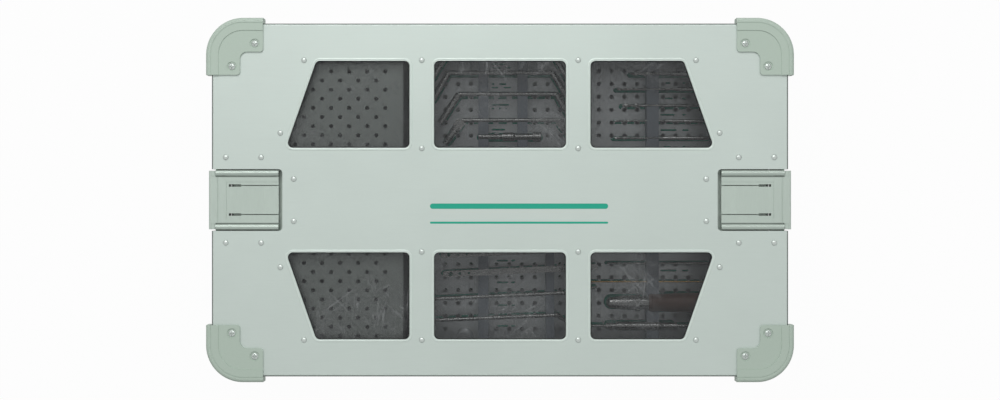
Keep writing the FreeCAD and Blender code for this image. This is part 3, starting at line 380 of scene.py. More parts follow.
# painted shade: the corner posts' grey is made far darker than the guards', standing in for the shade in the
# case's corners
postNylonShaded = finish("postNylonShaded", (0.082, 0.118, 0.108), 0.0, 0.45, grain=1500, tone=0.05, bumpMm=0.03)
latchMetal = finish("latchMetal", *latchFinish)
paintLeverHighlightAndShade(latchMetal, leverPaintedLight)
housingMetal = finish("housingMetal", *latchFinish)
satinSteel = finish("satinSteel", (0.41, 0.42, 0.415), 0.9, 0.27, (1, 6, 6), 260, 0.04, 0.003)
rivetMetal = finish("rivetMetal", (0.47, 0.515, 0.49), 0.7, 0.38, grain=700)
trayMetal = finish("trayMetal", (0.78, 0.83, 0.84), 0.55, 0.33, (1, 0.05, 1), 1100, 0.04)
boxMetal = finish("boxMetal", (0.50, 0.56, 0.53), 0.5, 0.36, (1, 0.05, 1), 1100, 0.05)
# near black, for the painted shade along the windows' edges
edgeShadeBlack = finish("edgeShadeBlack", (0.012, 0.013, 0.014), 0.0, 0.6, grain=600)
silicone = finish("silicone", (0.38, 0.44, 0.50), 0.0, 0.55, grain=700, bumpMm=0.03)
goldWire = finish("goldWire", (0.80, 0.50, 0.16), 0.9, 0.25)
tealInk = finish("tealInk", (0.0, 0.36, 0.24), 0.0, 0.5, grain=1200, tone=0.08)
brownGrip = finish("brownGrip", (0.15, 0.075, 0.052), 0.0, 0.42, (0.06, 1, 1), 420, 0.22, 0.04)


smoked = {"color": (0.012, 0.0125, 0.013), "roughness": 0.12, "refraction": 1.49,
          "clearColor": (0.027, 0.029, 0.030), "hazeColor": (0.28, 0.295, 0.30), "alpha": (0.39, 0.75),
          "cloudy": (0.485, 0.645), "smearShare": 0.22, "gloss": (0.08, 0.26),
          "scratchTurns": (0.62, -0.85, 1.5), "scratchShare": 0.65,
          "scratchLength": 16, "scratchScale": 85.0, "scratchEdge": (0.001, 0.011)}


def scratchLines(tree, turn):
    # Long fine lines in one direction: where a noise that is drawn out crosses its middle value.
    coords = tree.nodes.new("ShaderNodeTexCoord")
    mapping = tree.nodes.new("ShaderNodeMapping")
    mapping.vector_type = "TEXTURE"
    mapping.inputs["Rotation"].default_value = (0, 0, turn)
    mapping.inputs["Scale"].default_value = (smoked["scratchLength"], 1, 1)
    texture = tree.nodes.new("ShaderNodeTexNoise")
    texture.inputs["Scale"].default_value = smoked["scratchScale"]
    texture.inputs["Detail"].default_value = 2.0
    tree.links.new(coords.outputs["Object"], mapping.inputs["Vector"])
    tree.links.new(mapping.outputs["Vector"], texture.inputs["Vector"])
    offMiddle = calculate(tree, "ABSOLUTE", calculate(tree, "SUBTRACT", texture.outputs["Fac"], 0.5))
    return rangeOf(tree, offMiddle, *smoked["scratchEdge"], 1.0, 0.0)


def smokedGlazing():
    # Dark clear plastic: haze whitens its cloudy places a little, and fine scratches cross them.
    material, tree, shader, noise = newMaterial("smokedGlazing", smoked["color"], 0.0, smoked["roughness"],
                                                IOR=smoked["refraction"])
    haze = noise((1, 1.3, 1), 13.0, 5.0, 0.6)
    streaks = noise((0.35, 1.0, 1), 190.0, 3.0, 0.8)
    cloudy = rangeOf(tree, haze, *smoked["cloudy"], 0.0, 1.0)
    first, second, third = (scratchLines(tree, turn) for turn in smoked["scratchTurns"])
    lines = calculate(tree, "MAXIMUM", calculate(tree, "MAXIMUM", first, second), third)
    scratches = calculate(tree, "MULTIPLY", lines, cloudy)
    smear = calculate(tree, "MULTIPLY", cloudy, spread(tree, streaks, 0.0, smoked["smearShare"]))
    pale = calculate(tree, "MAXIMUM", calculate(tree, "MULTIPLY", scratches, smoked["scratchShare"]), smear)
    color = blendColors(tree, pale, smoked["clearColor"], smoked["hazeColor"])
    tree.links.new(color, shader.inputs["Base Color"])
    tree.links.new(rangeOf(tree, pale, 0.0, 1.0, *smoked["alpha"]), shader.inputs["Alpha"])
    tree.links.new(spread(tree, streaks, *smoked["gloss"]), shader.inputs["Roughness"])
    return material


glazing = smokedGlazing()


def paintNodes(material, *names):
    # Gives CAD nodes, picked by the start of their names, their finish.
    for nodeName, node in nodes.items():
        if nodeName.startswith(names):
            node.data.materials.clear()
            node.data.materials.append(material)


paintNodes(lidSheet, "lid_panel")
paintNodes(greenSheet, "base_shell", "screw_box_guides")
paintNodes(guardNylon, "lid_guard_")
paintNodes(postNylonShaded, "corner_post_")
paintNodes(glazing, "window_pane_")
paintNodes(latchMetal, "latch_lever_")
paintNodes(housingMetal, "latch_housing_")
paintNodes(satinSteel, "latch_pin_", "latch_spring_", "strike_plate_", "tray_bail_", "screw_box_hinges",
           "screw_box_latch", "drill", "guide_sleeve", "trocar", "protection", "bending", "sharp_hook",
           "bone_hook", "depth_gauge", "forceps", "hook_gauge", "driver_chuck", "holding_sleeve")
paintNodes(rivetMetal, "lid_guard_screws", "lid_rivets", "strike_rivets")
paintNodes(trayMetal, "upper_tray", "lower_tray", "screw_rack")
paintNodes(boxMetal, "screw_box_body", "screw_box_lid")
paintNodes(silicone, "holder_strip_")
paintNodes(goldWire, "guide_wire")
paintNodes(brownGrip, "driver_handle")
print("finishes made")


# Lid: beads and black bands of painted shade round the windows, domed rivets, cross-head screws, plain
# stripes, latch corners

lid = {
    "windowCornerMm": 5.5, "nearMm": 50.2, "farMm": 135.8, "middleHalfMm": 64.6,
    "outerStartMm": 87.3, "outerNearMm": 208.8, "outerFarMm": 178.8,
    "edgeWidthMm": 2.0, "edgeHeightMm": 0.45, "edgeShadeMm": 1.5,
    "rivetRadiusMm": 2.8, "rivetHeightMm": 1.6, "slantRivetMm": 190.3,
    "loneRivetsMm": ((213.3, 65.2), (266.3, 41.5), (231.9, 41.5), (200.3, 20.5)),
    "stripeStartMm": -68.0, "stripeEndMm": 105.0, "stripes": ((-6.0, 2.6), (-22.0, 1.0)),
    "stripeUpMm": 0.06, "stripeSunkMm": 0.02,
}


def windowShapes():
    # The six window outlines, anticlockwise: two middle ones, and four that slant outwards.
    near, far = lid["nearMm"], lid["farMm"]
    half, start = lid["middleHalfMm"], lid["outerStartMm"]
    middle = np.array([(-half, near), (half, near), (half, far), (-half, far)])
    outer = np.array([(start, near), (lid["outerNearMm"], near), (lid["outerFarMm"], far), (start, far)])
    shapes = []
    for shape in (middle, outer, (outer * (-1, 1))[::-1]):  # a mirrored outline is run backwards
        shapes += [shape, (shape * (1, -1))[::-1]]
    return shapes


def roundWindows(profile):
    # A profile carried round all six windows at the height of the lid's top.
    outlines = [roundedOutline(shape, lid["windowCornerMm"]) * mm for shape in windowShapes()]
    return joinParts([carryProfile(outline, profile * mm, lidTop) for outline in outlines])


def windowEdges():
    # A low rounded bead that laps each window's edge: half an oval, with a foot down the cut edge.
    angle = np.linspace(0, np.pi, 7)
    width, height = lid["edgeWidthMm"], lid["edgeHeightMm"]
    crown = np.stack([width / 2 - width / 2 * np.cos(angle), height * np.sin(angle) ** 0.7], -1)
    foot = [(width, -0.05), (-0.25, -0.05), (-0.25, -1.2), (-0.55, -1.2), (-0.5, 0.1)]
    return roundWindows(np.concatenate([crown, foot]))


def windowEdgeShade():
    # Painted shade: a flat black band between each window's edge and its pane, standing in for the shade
    # along the cut edge: a low box whose inner side slopes.
    width = lid["edgeShadeMm"]
    return roundWindows(np.array([(0.1, -1.6), (0.1, -0.7), (0.4 - width, -0.9), (-width, -1.6)]))


addPiece("windowEdges", *windowEdges(), windowEdgeHighlight, "lid", "lid_aluminium")
addPiece("windowEdgeShade", *windowEdgeShade(), edgeShadeBlack, "lid", "silicone")


def dome(radius, height):
    # A rivet head: a quarter ellipse turned about Z, closed below.
    angle = np.linspace(0, np.pi / 2, 7)
    arc = np.stack([radius * np.cos(angle), height * np.sin(angle)], -1)
    arc[-1, 0] = 0
    return revolve(np.concatenate([[(0, 0)], arc]))


def lidRivetPlaces():
    # Seven rivets in each quarter of the lid.
    far, gap = lid["farMm"], (lid["middleHalfMm"] + lid["outerStartMm"]) / 2
    quarter = [(gap, far), (gap, lid["nearMm"]), (lid["slantRivetMm"], far), *lid["loneRivetsMm"]]
    return [place for x, y in quarter for place in fourWays(x * mm, y * mm, lidTop)]


rivetHead = dome(lid["rivetRadiusMm"] * mm, lid["rivetHeightMm"] * mm)
addPiece("lidRivetHeads", *copiesAt(rivetHead, lidRivetPlaces()), rivetMetal, "lid", "lid_aluminium",
         stands=("lid_rivets",))


def stripes():
    # Two plain stripes with round ends, raised a hair over the lid.
    x0, x1 = lid["stripeStartMm"], lid["stripeEndMm"]
    parts = []
    for y, half in lid["stripes"]:
        corners = [(x0, y - half), (x1, y - half), (x1, y + half), (x0, y + half)]
        outline = roundedOutline(corners, half * 0.98) * mm
        parts.append(slab(outline, lidTop - lid["stripeSunkMm"] * mm, lidTop + lid["stripeUpMm"] * mm))
    return joinParts(parts)


addPiece("stripes", *stripes(), tealInk, "lid", "lid_aluminium", smoothAngle=0.1)


guardScrew = {"radiusMm": 3.3, "domeMm": 1.5, "crossMm": 2.0, "armMm": 0.42, "deepMm": 0.9,
              "armBlurMm": 0.22, "crossBlurMm": 0.5, "rings": 14, "sides": 72,
              "farMm": (260.1, 129.4), "nearMm": (237.9, 151.6)}


def crossHead():
    # A domed screw head with a cross sunk in it: a polar grid whose height drops inside the two arms.
    radius, high, deep = guardScrew["radiusMm"], guardScrew["domeMm"], guardScrew["deepMm"]
    share = np.linspace(0, 1, guardScrew["rings"] + 1)[1:, None] ** 0.8
    turn = fullTurn(guardScrew["sides"])[None]
    x, y = radius * share * np.cos(turn), radius * share * np.sin(turn)
    crown = high * np.sqrt(np.clip(1 - (share * 0.97) ** 2, 0, 1)) + turn * 0
    narrow, long = np.minimum(abs(x), abs(y)), np.maximum(abs(x), abs(y))
    inArm = np.clip((guardScrew["armMm"] - narrow) / guardScrew["armBlurMm"] + 0.5, 0, 1)
    inCross = np.clip((guardScrew["crossMm"] - long) / guardScrew["crossBlurMm"] + 0.5, 0, 1)
    z = crown - deep * inArm * inCross
    rim = np.stack([x[-1], y[-1], y[-1] * 0], -1)
    dished = np.stack([x, y, z], -1).reshape(-1, 3)
    points = np.concatenate([[[0, 0, high - deep]], dished, rim, [[0, 0, 0]]])
    rings, sideCount = len(share) + 1, turn.size
    faces = [[1 + a for a in face] for face in gridFaces(rings, sideCount)]
    last = len(points) - 1
    return points * mm, faces + fan(1, sideCount, 0) + fan(last - sideCount, sideCount, last)


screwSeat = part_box("lid_guard_screws")[0][2]
screwPlaces = [place for x, y in (guardScrew["farMm"], guardScrew["nearMm"])
               for place in fourWays(x * mm, y * mm, screwSeat)]
addPiece("guardScrews", *copiesAt(crossHead(), screwPlaces), rivetMetal, "lid", "guard_plastic",
         stands=("lid_guard_screws",))


strikeRivet = {"radiusMm": 3.2, "heightMm": 1.3, "sunkMm": 0.9, "levelMm": 28.0, "acrossMm": (-32, 0, 32)}


def strikeRivetHeads():
    # Domed heads on both strike plates, turned to look outwards along X.
    points, faces = dome(strikeRivet["radiusMm"] * mm, strikeRivet["heightMm"] * mm)
    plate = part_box("strike_rivets")[1][0] - strikeRivet["sunkMm"] * mm
    parts = []
    for side in (1, -1):
        sideways = np.stack([side * (plate + points[:, 2]), points[:, 1], points[:, 0]], -1)
        for y in strikeRivet["acrossMm"]:
            parts.append((sideways + (0, y * mm, strikeRivet["levelMm"] * mm), faces))
    return joinParts(parts)


addPiece("strikeRivetHeads", *strikeRivetHeads(), rivetMetal, "case", "steel", stands=("strike_rivets",))


latchCorner = {"startMm": 277.0, "endMm": 280.3, "nearMm": 23.3, "farMm": 28.5, "roundMm": 0.3,
               "topMm": 119.28, "underMm": 118.0}


def latchCorners(side):
    # Past the ends of its rolls the lever's sheet runs on flat: a thin slab at both corners.
    x0, x1 = sorted((latchCorner["startMm"] * side, latchCorner["endMm"] * side))
    near, far = latchCorner["nearMm"], latchCorner["farMm"]
    slabs = []
    for end in (1, -1):
        corners = [(x0, near * end), (x1, near * end), (x1, far * end), (x0, far * end)]
        outline = roundedOutline(corners, latchCorner["roundMm"], 4) * mm
        slabs.append(slab(outline, latchCorner["underMm"] * mm, latchCorner["topMm"] * mm))
    return joinParts(slabs)


for endName, side in bothEnds:
    lever = "latch_" + endName.lower()
    addPiece("latchCorners" + endName, *latchCorners(side), latchMetal, lever, "latch_metal")
print("lid details made")


# Perforated sheet: cells with round holes, ringed by a folded edge

perSide = 4  # points along each side of a cell
perCell = 4 * perSide


def ringPoints(halfX, halfY, corner, bearings):
    # Where rays from the middle, at the given bearings, cross a rounded rectangle.
    ray = rays(bearings)
    reach = np.minimum(halfX / np.maximum(abs(ray[:, 0]), 1e-9), halfY / np.maximum(abs(ray[:, 1]), 1e-9))
    centre = np.sign(ray) * (halfX - corner, halfY - corner)
    inCorner = (abs(ray * reach[:, None]) > (halfX - corner, halfY - corner)).all(1)
    along = (ray * centre).sum(1)
    root = np.sqrt(np.maximum(along**2 - (centre**2).sum(1) + corner**2, 0))
    return ray * np.where(inCorner, along + root, reach)[:, None]


def cutCornerPoints(halfX, halfY, cut, bearings):
    # Where the same rays cross a rectangle whose corners are cut off straight.
    ray = abs(rays(bearings))
    reach = np.minimum(halfX / np.maximum(ray[:, 0], 1e-9), halfY / np.maximum(ray[:, 1], 1e-9))
    reach = np.minimum(reach, (halfX + halfY - cut) / ray.sum(1))
    return rays(bearings) * reach[:, None]


def perforatedPan(spec, hasHole, stations):
    # A sheet of square cells, each ringed round its hole, joined along its rim to a folded edge.
    #
    # Each station of the edge is (halfX, halfY, corner, z): a rounded rectangle that the fold passes
    # through, from the top of the sheet to its underside.
    countX, countY = spec["cells"]
    pitchX, pitchY = spec["pitchMm"]
    side = np.arange(perSide) * 2 / perSide - 1
    edges = ((side * 0 + 1, side), (-side, side * 0 + 1), (side * 0 - 1, -side), (side, side * 0 - 1))
    square = np.concatenate([np.stack(edge, -1) for edge in edges])
    bearing = np.arctan2(square[:, 1] * pitchY, square[:, 0] * pitchX)
    column, row = np.meshgrid(np.arange(countX), np.arange(countY), indexing="ij")
    middles = np.stack([(column + 0.5 - countX / 2) * pitchX, (row + 0.5 - countY / 2) * pitchY], -1)
    middles = middles.reshape(-1, 2) + spec["shiftMm"]
    pierced = hasHole(column, row, middles.reshape(countX, countY, 2)).reshape(-1)
    border = middles[:, None] + square * (pitchX / 2, pitchY / 2)
    circle = middles[:, None] + spec["holeMm"] * rays(bearing)
    top, low = spec["topMm"], spec["topMm"] - spec["sheetMm"]

    def repeated(pointSets, faces):
        # The same faces for each set of points, as one part.
        starts = np.arange(len(pointSets))[:, None, None] * np.prod(pointSets.shape[1:-1])
        shifted = np.array(faces)[None] + starts
        return pointSets.reshape(-1, 3), shifted.reshape(-1, shifted.shape[-1]).tolist()

    rings = np.stack([level(border, top), level(circle, top), level(circle, low), level(border, low)], 1)
    parts = [repeated(rings[pierced], gridFaces(4, perCell))]
    plain = np.concatenate([border[~pierced], middles[~pierced][:, None]], 1)
    parts += [repeated(level(plain, z), fan(0, perCell, perCell)) for z in (top, low)]
    parts.append(panEdge(spec, stations, top, low))
    points, faces = joinParts(parts)
    return (points + (*spec["centreMm"], 0)) * mm, faces


def panEdge(spec, stations, top, low):
    # The fold: loops through its stations, begun and ended on the rim of the cells.
    countX, countY = np.array(spec["cells"]) * perSide
    reach = np.array(spec["cells"]) * spec["pitchMm"] / 2
    up, left = np.linspace(-1, 1, countY + 1)[:-1], np.linspace(1, -1, countX + 1)[:-1]
    edges = ((up * 0 + 1, up), (left, left * 0 + 1), (up * 0 - 1, -up), (-left, left * 0 - 1))
    rim = np.concatenate([np.stack(edge, -1) for edge in edges]) * reach + spec["shiftMm"]
    bearings = np.arctan2(rim[:, 1], rim[:, 0])
    loops = [level(rim, top)]
    for halfX, halfY, corner, z in stations:
        flat = spec["ring"](halfX, halfY, corner, bearings)
        drop = spec["notch"](flat, z) if "notch" in spec else 0
        loops.append(level(flat, z - drop))
    loops.append(level(rim, low))
    return np.concatenate(loops), gridFaces(len(loops), len(rim))


def foldStations(halfX, halfY, corner, bend, zFlat, turn, share=1.0):
    # A quarter bend at the foot or head of a wall; turn is 1 where the wall rises, -1 where it falls.
    #
    # The corner shrinks by this share of the inset: all of it where round, less where cut straight.
    angle = np.linspace(0, np.pi / 2, 5)
    inset = bend * (1 - np.sin(angle))
    height = zFlat + turn * bend * (1 - np.cos(angle))
    return [(halfX - i, halfY - i, max(corner - i * share, 0.5), z) for i, z in zip(inset, height)]


trayBox = {name: np.array(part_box(name)) / mm for name in ("upper_tray", "lower_tray", "screw_box_lid")}
tray = {
    "sheetMm": 1.2, "rimOutMm": 2.0, "cornerMm": 32.0, "bendMm": 4.0,
    "notchHalfMm": 47.0, "notchDepthMm": 9.0, "notchSlopeMm": 8.0, "notchZoneMm": 12,
    "wallEndMm": 11, "rollFromMm": (1.2, 2.2),  # below the rim, the last two inside and outside
    "rimMm": ((0.3, -0.4), (1.2, 0.0), (2.2, -0.1), (3.0, -0.6), (3.2, -1.4), (2.7, -1.6), (1.3, -1.6)),
    "cells": (23, 23), "pitchMm": (12.9, 13.0), "holeMm": 2.25,
    "labelMm": (76, 101), "labelFromMm": -48,  # a strip without holes, from the left side
    "padLeftMm": 50, "padRightMm": 26, "padInMm": 28, "padRoomMm": 13,
    "padMm": ((0, 0.35), (1.9, 0.35), (2.1, 0.9), (6.8, 1.1), (7.8, 0.5), (8.25, 0), (0, 0)),
}


def trayPan(name):
    # A tray: perforated floor, rounded foot, upright wall and a rim rolled outwards.
    low, high = trayBox[name]
    half = (high - low)[:2] / 2
    sheet, bend = tray["sheetMm"], tray["bendMm"]
    outer = half - tray["rimOutMm"]
    inner = outer - sheet
    outerCorner = tray["cornerMm"] - tray["rimOutMm"]
    innerCorner = outerCorner - sheet
    floor, top = low[2] + sheet, high[2]
    wallTop, notchZone = top - tray["wallEndMm"], tray["notchZoneMm"]
    rollInside, rollOutside = tray["rollFromMm"]

    def notch(flat, z):
        atEnd = abs(flat[:, 0]) > half[0] - notchZone
        slope = tray["notchSlopeMm"]
        share = np.clip((tray["notchHalfMm"] + slope - abs(flat[:, 1])) / slope, 0, 1)
        depth = tray["notchDepthMm"] * share * share * (3 - 2 * share)
        return np.where(atEnd, depth, 0) * (z > top - notchZone)

    stations = foldStations(*inner, innerCorner, bend - sheet, floor, 1)
    stations += [(*inner, innerCorner, z) for z in (wallTop, top - rollInside)]
    stations += [(*(inner + out), innerCorner + out, top + rise) for out, rise in tray["rimMm"]]
    stations += [(*outer, outerCorner, z) for z in (top - rollOutside, wallTop)]
    stations += foldStations(*outer, outerCorner, bend, low[2], 1)[::-1]
    spec = {**tray, "shiftMm": (0.0, 0.0), "topMm": floor, "centreMm": (low + high)[:2] / 2,
            "notch": notch, "ring": ringPoints}

    def hasHole(column, row, middles):
        # Everywhere but in the strip beside the tools and at the pads.
        fromLeft = middles[..., 0] + half[0]
        labelStart, labelEnd = tray["labelMm"]
        labels = (fromLeft > labelStart) & (fromLeft < labelEnd) & (middles[..., 1] > tray["labelFromMm"])
        toLeftPad = abs(fromLeft - tray["padLeftMm"])
        toRightPad = abs(fromLeft - 2 * half[0] + tray["padRightMm"])
        toPad = np.hypot(np.minimum(toLeftPad, toRightPad), abs(middles[..., 1]) - half[1] + tray["padInMm"])
        return ~(labels | (toPad < tray["padRoomMm"]))

    return perforatedPan(spec, hasHole, stations)


def floorPads(name):
    # Round pads pressed up from the floor near its corners, each with a ringed hole.
    low, high = trayBox[name]
    half = (high - low)[1] / 2 - tray["padInMm"]
    columns = (low[0] + tray["padLeftMm"], high[0] - tray["padRightMm"])
    places = [(x, y, low[2] + tray["sheetMm"]) for x in columns for y in (-half, half)]
    points, faces = copiesAt(revolve(np.array(tray["padMm"]), 40), places)
    return points * mm, faces


for trayName, pieceName in (("upper_tray", "upperTray"), ("lower_tray", "lowerTray")):
    pan, pads = trayPan(trayName), floorPads(trayName)
    addPiece(pieceName, *joinParts([pan, pads]), trayMetal, "case", "tray_aluminium", stands=(trayName,))


boxLid = {"sheetMm": 1.2, "cutMm": 7.5, "bendMm": 1.4, "cutShare": 0.586, "cells": (16, 33),
          "pitchMm": (8.84, 8.93), "shiftMm": (7.72, 0.9), "holeMm": 2.1, "bareRows": (10, 22)}


def screwBoxLid():
    # The screw box's lid: staggered holes, bare in the middle and by one corner, edges folded down.
    low, high = trayBox["screw_box_lid"]
    half = (high - low)[:2] / 2
    sheet, cut, bend, share = (boxLid[key] for key in ("sheetMm", "cutMm", "bendMm", "cutShare"))
    top, skirt = high[2], low[2]
    inner = half - sheet
    innerCut = cut - sheet * share
    outside = foldStations(*half, cut, bend, top, -1, share=share)
    inside = foldStations(*inner, innerCut, bend - sheet, top - sheet, -1, share=share)
    stations = outside + [(*half, cut, skirt), (*inner, innerCut, skirt)] + inside[::-1]
    spec = {**boxLid, "topMm": top, "centreMm": (low + high)[:2] / 2, "ring": cutCornerPoints}
    columns, rows = boxLid["cells"]
    bareStart, bareEnd = boxLid["bareRows"]

    def hasHole(column, row, middles):
        # Every second cell of every second row, but for the bare places.
        fromTop = rows - 1 - row
        odd = fromTop % 2 == 1
        staggered = (column + fromTop) % 2 == 0
        lastOdd = odd & (column == columns - 1)
        place = column // 2
        middleRows = (fromTop > bareStart) & (fromTop < bareEnd)
        bareMiddle = middleRows & (place > np.where(odd, 1, 2)) & (place < 5)
        bareCorner = (fromTop > bareEnd) & (place < np.where(odd, 2, 3))
        return staggered & ~lastOdd & ~bareMiddle & ~bareCorner

    return perforatedPan(spec, hasHole, stations)


addPiece("screwBoxLid", *screwBoxLid(), boxMetal, "case", "box_aluminium", stands=("screw_box_lid",))

hingeRivet = {"radiusMm": 3.2, "heightMm": 1.1, "xMm": -244, "acrossMm": (71, 89, -71, -89)}
hingeHead = dome(hingeRivet["radiusMm"] * mm, hingeRivet["heightMm"] * mm)
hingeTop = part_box("screw_box_lid")[1][2]
hingePlaces = [(hingeRivet["xMm"] * mm, y * mm, hingeTop) for y in hingeRivet["acrossMm"]]
addPiece("hingeRivets", *copiesAt(hingeHead, hingePlaces), rivetMetal, "case", "box_aluminium")
print("perforated sheets made")


# Upper tray: ink on its floor below each tool, twisted bits and bent wire

trayLeftMm = trayBox["upper_tray"][0][0]
trayFloorMm = trayBox["upper_tray"][0][2] + tray["sheetMm"]

# Each drill: start and end in x from the tray's left side, y, bit radius, bit length and shank radius
drillRows = [
    (215, 308, 126.0, 1.9, 40, 2.2), (201, 326, 110.5, 1.4, 60, 1.9), (206.5, 315.5, 94.2, 1.8, 22, 1.6),
    (198.5, 317, 78.7, 1.1, 50, 1.6), (198.5, 327, 61.7, 1.4, 50, 1.8), (187, 318, 46.7, 1.2, 60, 1.6),
    (179.5, 337, 29.4, 1.0, 80, 1.6), (174.5, 331.5, 12.5, 1.6, 70, 1.9), (146, 322, -5.0, 1.4, 90, 1.7),
    (147.5, 323, -21.4, 1.0, 95, 1.6), (192, 326, -63.0, 0.9, 70, 1.3),
]

# Each inked shape: the half width of its line and the corners of its path, x from the tray's left side
inkedPaths = [
    (3.6, (12, 112.5), (34, 147.3), (138, 147.3), (158, 113)),
    (3.6, (17, 97), (34, 127), (138, 127), (166, 80)),
    (3.8, (25.5, 76), (44.5, 105.5), (142, 105.5), (159.5, 76)), (4.8, (30.5, 55.5), (48, 79.5)),
    (2.8, (48, 79.5), (144, 79.5)), (4.8, (144, 79.5), (161, 57)), (4.4, (62, 63), (129, 63)),
    (3.4, (55, 43), (128, 43)), (5.6, (50, 21.2), (130, 21.2)), (5.8, (43, -6), (127, -6)),
    (6.0, (52, -31.5), (137, -31.5)), (3.8, (24, -54.7), (191, -47.6)), (3.8, (26, -74), (185, -66.4)),
    (2.6, (12, -98.8), (157, -92), (183, -86.5)), (2.6, (13, -120), (142, -114.6), (173, -133)),
    (2.0, (60, -150), (109, -150)), (5.6, (109, -150), (231, -150)), (2.6, (231, -150), (246, -150)),
    (4.6, (214, 144), (318, 144)), (2.5, (156, -42.6), (200, -39.2), (322, -39.2)),
    (1.5, (162, -81.3), (334, -81.3)), (7.6, (190, -102.3), (232, -102.3)),
    (10.6, (234, -102.3), (336, -102.3)), (4.8, (190, -125.5), (262, -125.5)),
    (2.4, (165, -125.5), (190, -125.5)), (2.4, (262, -125.5), (338, -125.5)),
]
inkedPaths += [(row[3] + 1.0, (row[0] - 1.5, row[2]), (row[1] + 1.5, row[2])) for row in drillRows]
ink = {
    "bendMm": 6.0, "cellMm": (1.4, 1.3), "clearMm": 2.9, "marginMm": 8,
    "layerMm": 0.04, "liftMm": 0.05, "fanMm": 0.012, "fanCount": 60,
    "leftRowsMm": (137, 117, 96, 71, 53, 32, 8, -18), "lowRowsMm": (-61, -83, -106, -127),
    "rightRowsMm": (118, 102.5, 86, 70.5, 53.5, 38, 21, 4.5, -13, -30, -52, -71),
}


def inkRibbon(corners, half):
    # A flat strip with round ends along a path, in cells small enough to leave the floor's holes open.
    path = roundedPath(corners, ink["bendMm"])
    lengths = np.concatenate([[0], np.cumsum(np.linalg.norm(np.diff(path, axis=0), axis=1))])
    longCell, wideCell = ink["cellMm"]
    steps = np.linspace(0, lengths[-1], int(lengths[-1] / longCell) + 2)
    line = np.stack([np.interp(steps, lengths, path[:, axis]) for axis in (0, 1)], -1)
    along = unit(np.gradient(line, axis=0))
    across = np.stack([-along[:, 1], along[:, 0]], -1)
    share = np.linspace(-1, 1, max(int(half * 2 / wideCell), 2) + 1)
    intoEnd = np.clip(1 - np.minimum(steps, lengths[-1] - steps) / half, 0, 1)
    narrow = np.sqrt(np.clip(1 - intoEnd**2, 0.02, 1))
    flat = line[:, None] + across[:, None] * (share[None] * half * narrow[:, None])[..., None]
    return flat.reshape(-1, 2), np.array(gridFaces(*flat.shape[:2], closedCols=False))


def inkMarks():
    # Short plain dashes beside the tools, in the two columns between the holder strips.
    marks = []
    for number, y in enumerate(ink["leftRowsMm"]):
        firstEnd, secondEnd, thirdStart = 91 + number % 3 * 2, 87 - number % 2 * 3, 91 - number % 2 * 2
        below = y - 3.6
        marks += [(1.0, (77, y), (firstEnd, y)), (0.8, (77, below), (secondEnd, below)),
                  (0.8, (thirdStart, below), (97, below))]
    for number, y in enumerate(ink["rightRowsMm"]):
        marks.append((1.0, (247, y), (258 + number % 4 * 2, y)))
        marks.append((1.0, (269, y), (273 + number % 2 * 3, y)))
    for y in ink["lowRowsMm"]:
        marks += [(1.0, (82, y), (94, y)), (1.0, (96.5, y), (101, y))]
    return marks + [(1.6, (14, 12), (14, 24)), (1.6, (14, 6), (14, -20))]


def trayInk():
    # The inked shapes, flat just over the floor, no two at one height, open where the floor has a hole.
    low, high = trayBox["upper_tray"]
    middle = (low + high)[:2] / 2
    room = (high - low)[:2] / 2 - ink["marginMm"]
    pitch = np.array(tray["pitchMm"])
    parts = []
    for half, *corners in inkedPaths + inkMarks():
        flat, faces = inkRibbon(corners, half)
        cells = flat[faces].mean(1) + (trayLeftMm, 0) - middle
        fromHole = np.hypot(*((cells + pitch / 2) % pitch - pitch / 2).T)
        kept = faces[(fromHole > ink["clearMm"]) & (abs(cells) < room).all(1)]
        height = trayFloorMm + ink["liftMm"] + ink["fanMm"] * len(parts) / ink["fanCount"]
        parts.append((level(flat + (trayLeftMm, 0), height) * mm, kept.tolist()))
    return joinParts(parts)


inkLayer = addPiece("trayInk", *trayInk(), tealInk, "case", "tray_aluminium", flat=True)
inkBody = inkLayer.modifiers.new("inkBody", "SOLIDIFY")
inkBody.thickness = ink["layerMm"] * mm
inkBody.offset = -1


drill = {
    "heightMm": 20.5, "sides": 20, "stepMm": 0.9, "tipMm": 0.15, "leadPerRadius": 11, "fluteShare": 0.42,
    # back from the end and radius: the driver coupling
    "couplingMm": ((13.8, 2.2), (6, 2.2), (5.6, 1.7), (3.6, 1.7), (3.2, 2.2), (0.4, 2.2), (0, 1.8)),
}


def drillBody(x0, x1, y, bitRadius, bitLength, shankRadius):
    # A turned shape whose bit has two flutes, cut where the cosine of twice the twisted angle is high.
    length, count = x1 - x0, drill["sides"]
    bit = np.arange(2 * bitRadius, bitLength, drill["stepMm"])
    shank = [(bitLength + 2, shankRadius), (length - 14, shankRadius)]
    shank += [(length - back, radius) for back, radius in drill["couplingMm"]]
    stations = np.concatenate([[(0, drill["tipMm"])], np.column_stack([bit, bit * 0 + bitRadius]), shank])
    turn = fullTurn(count)
    twist = 2 * np.pi * stations[:, :1] / (drill["leadPerRadius"] * bitRadius)
    flute = drill["fluteShare"] * np.clip(np.cos(2 * (turn[None] - twist)), 0, 1) ** 0.7
    flute[len(bit) + 1:] = 0
    radius = stations[:, 1:] * (1 - flute)
    ring = np.stack([turn * 0, np.cos(turn), np.sin(turn)], -1)
    points = ring[None] * radius[..., None] + stations[:, None, :1] * (1, 0, 0)
    points = points.reshape(-1, 3) + (trayLeftMm + x0, y, trayFloorMm + drill["heightMm"])
    return points * mm, cappedFaces(len(stations), count)


addPiece("drillSet", *joinParts([drillBody(*row) for row in drillRows]), satinSteel, "case", "steel",
         stands=("drills_and_taps",))


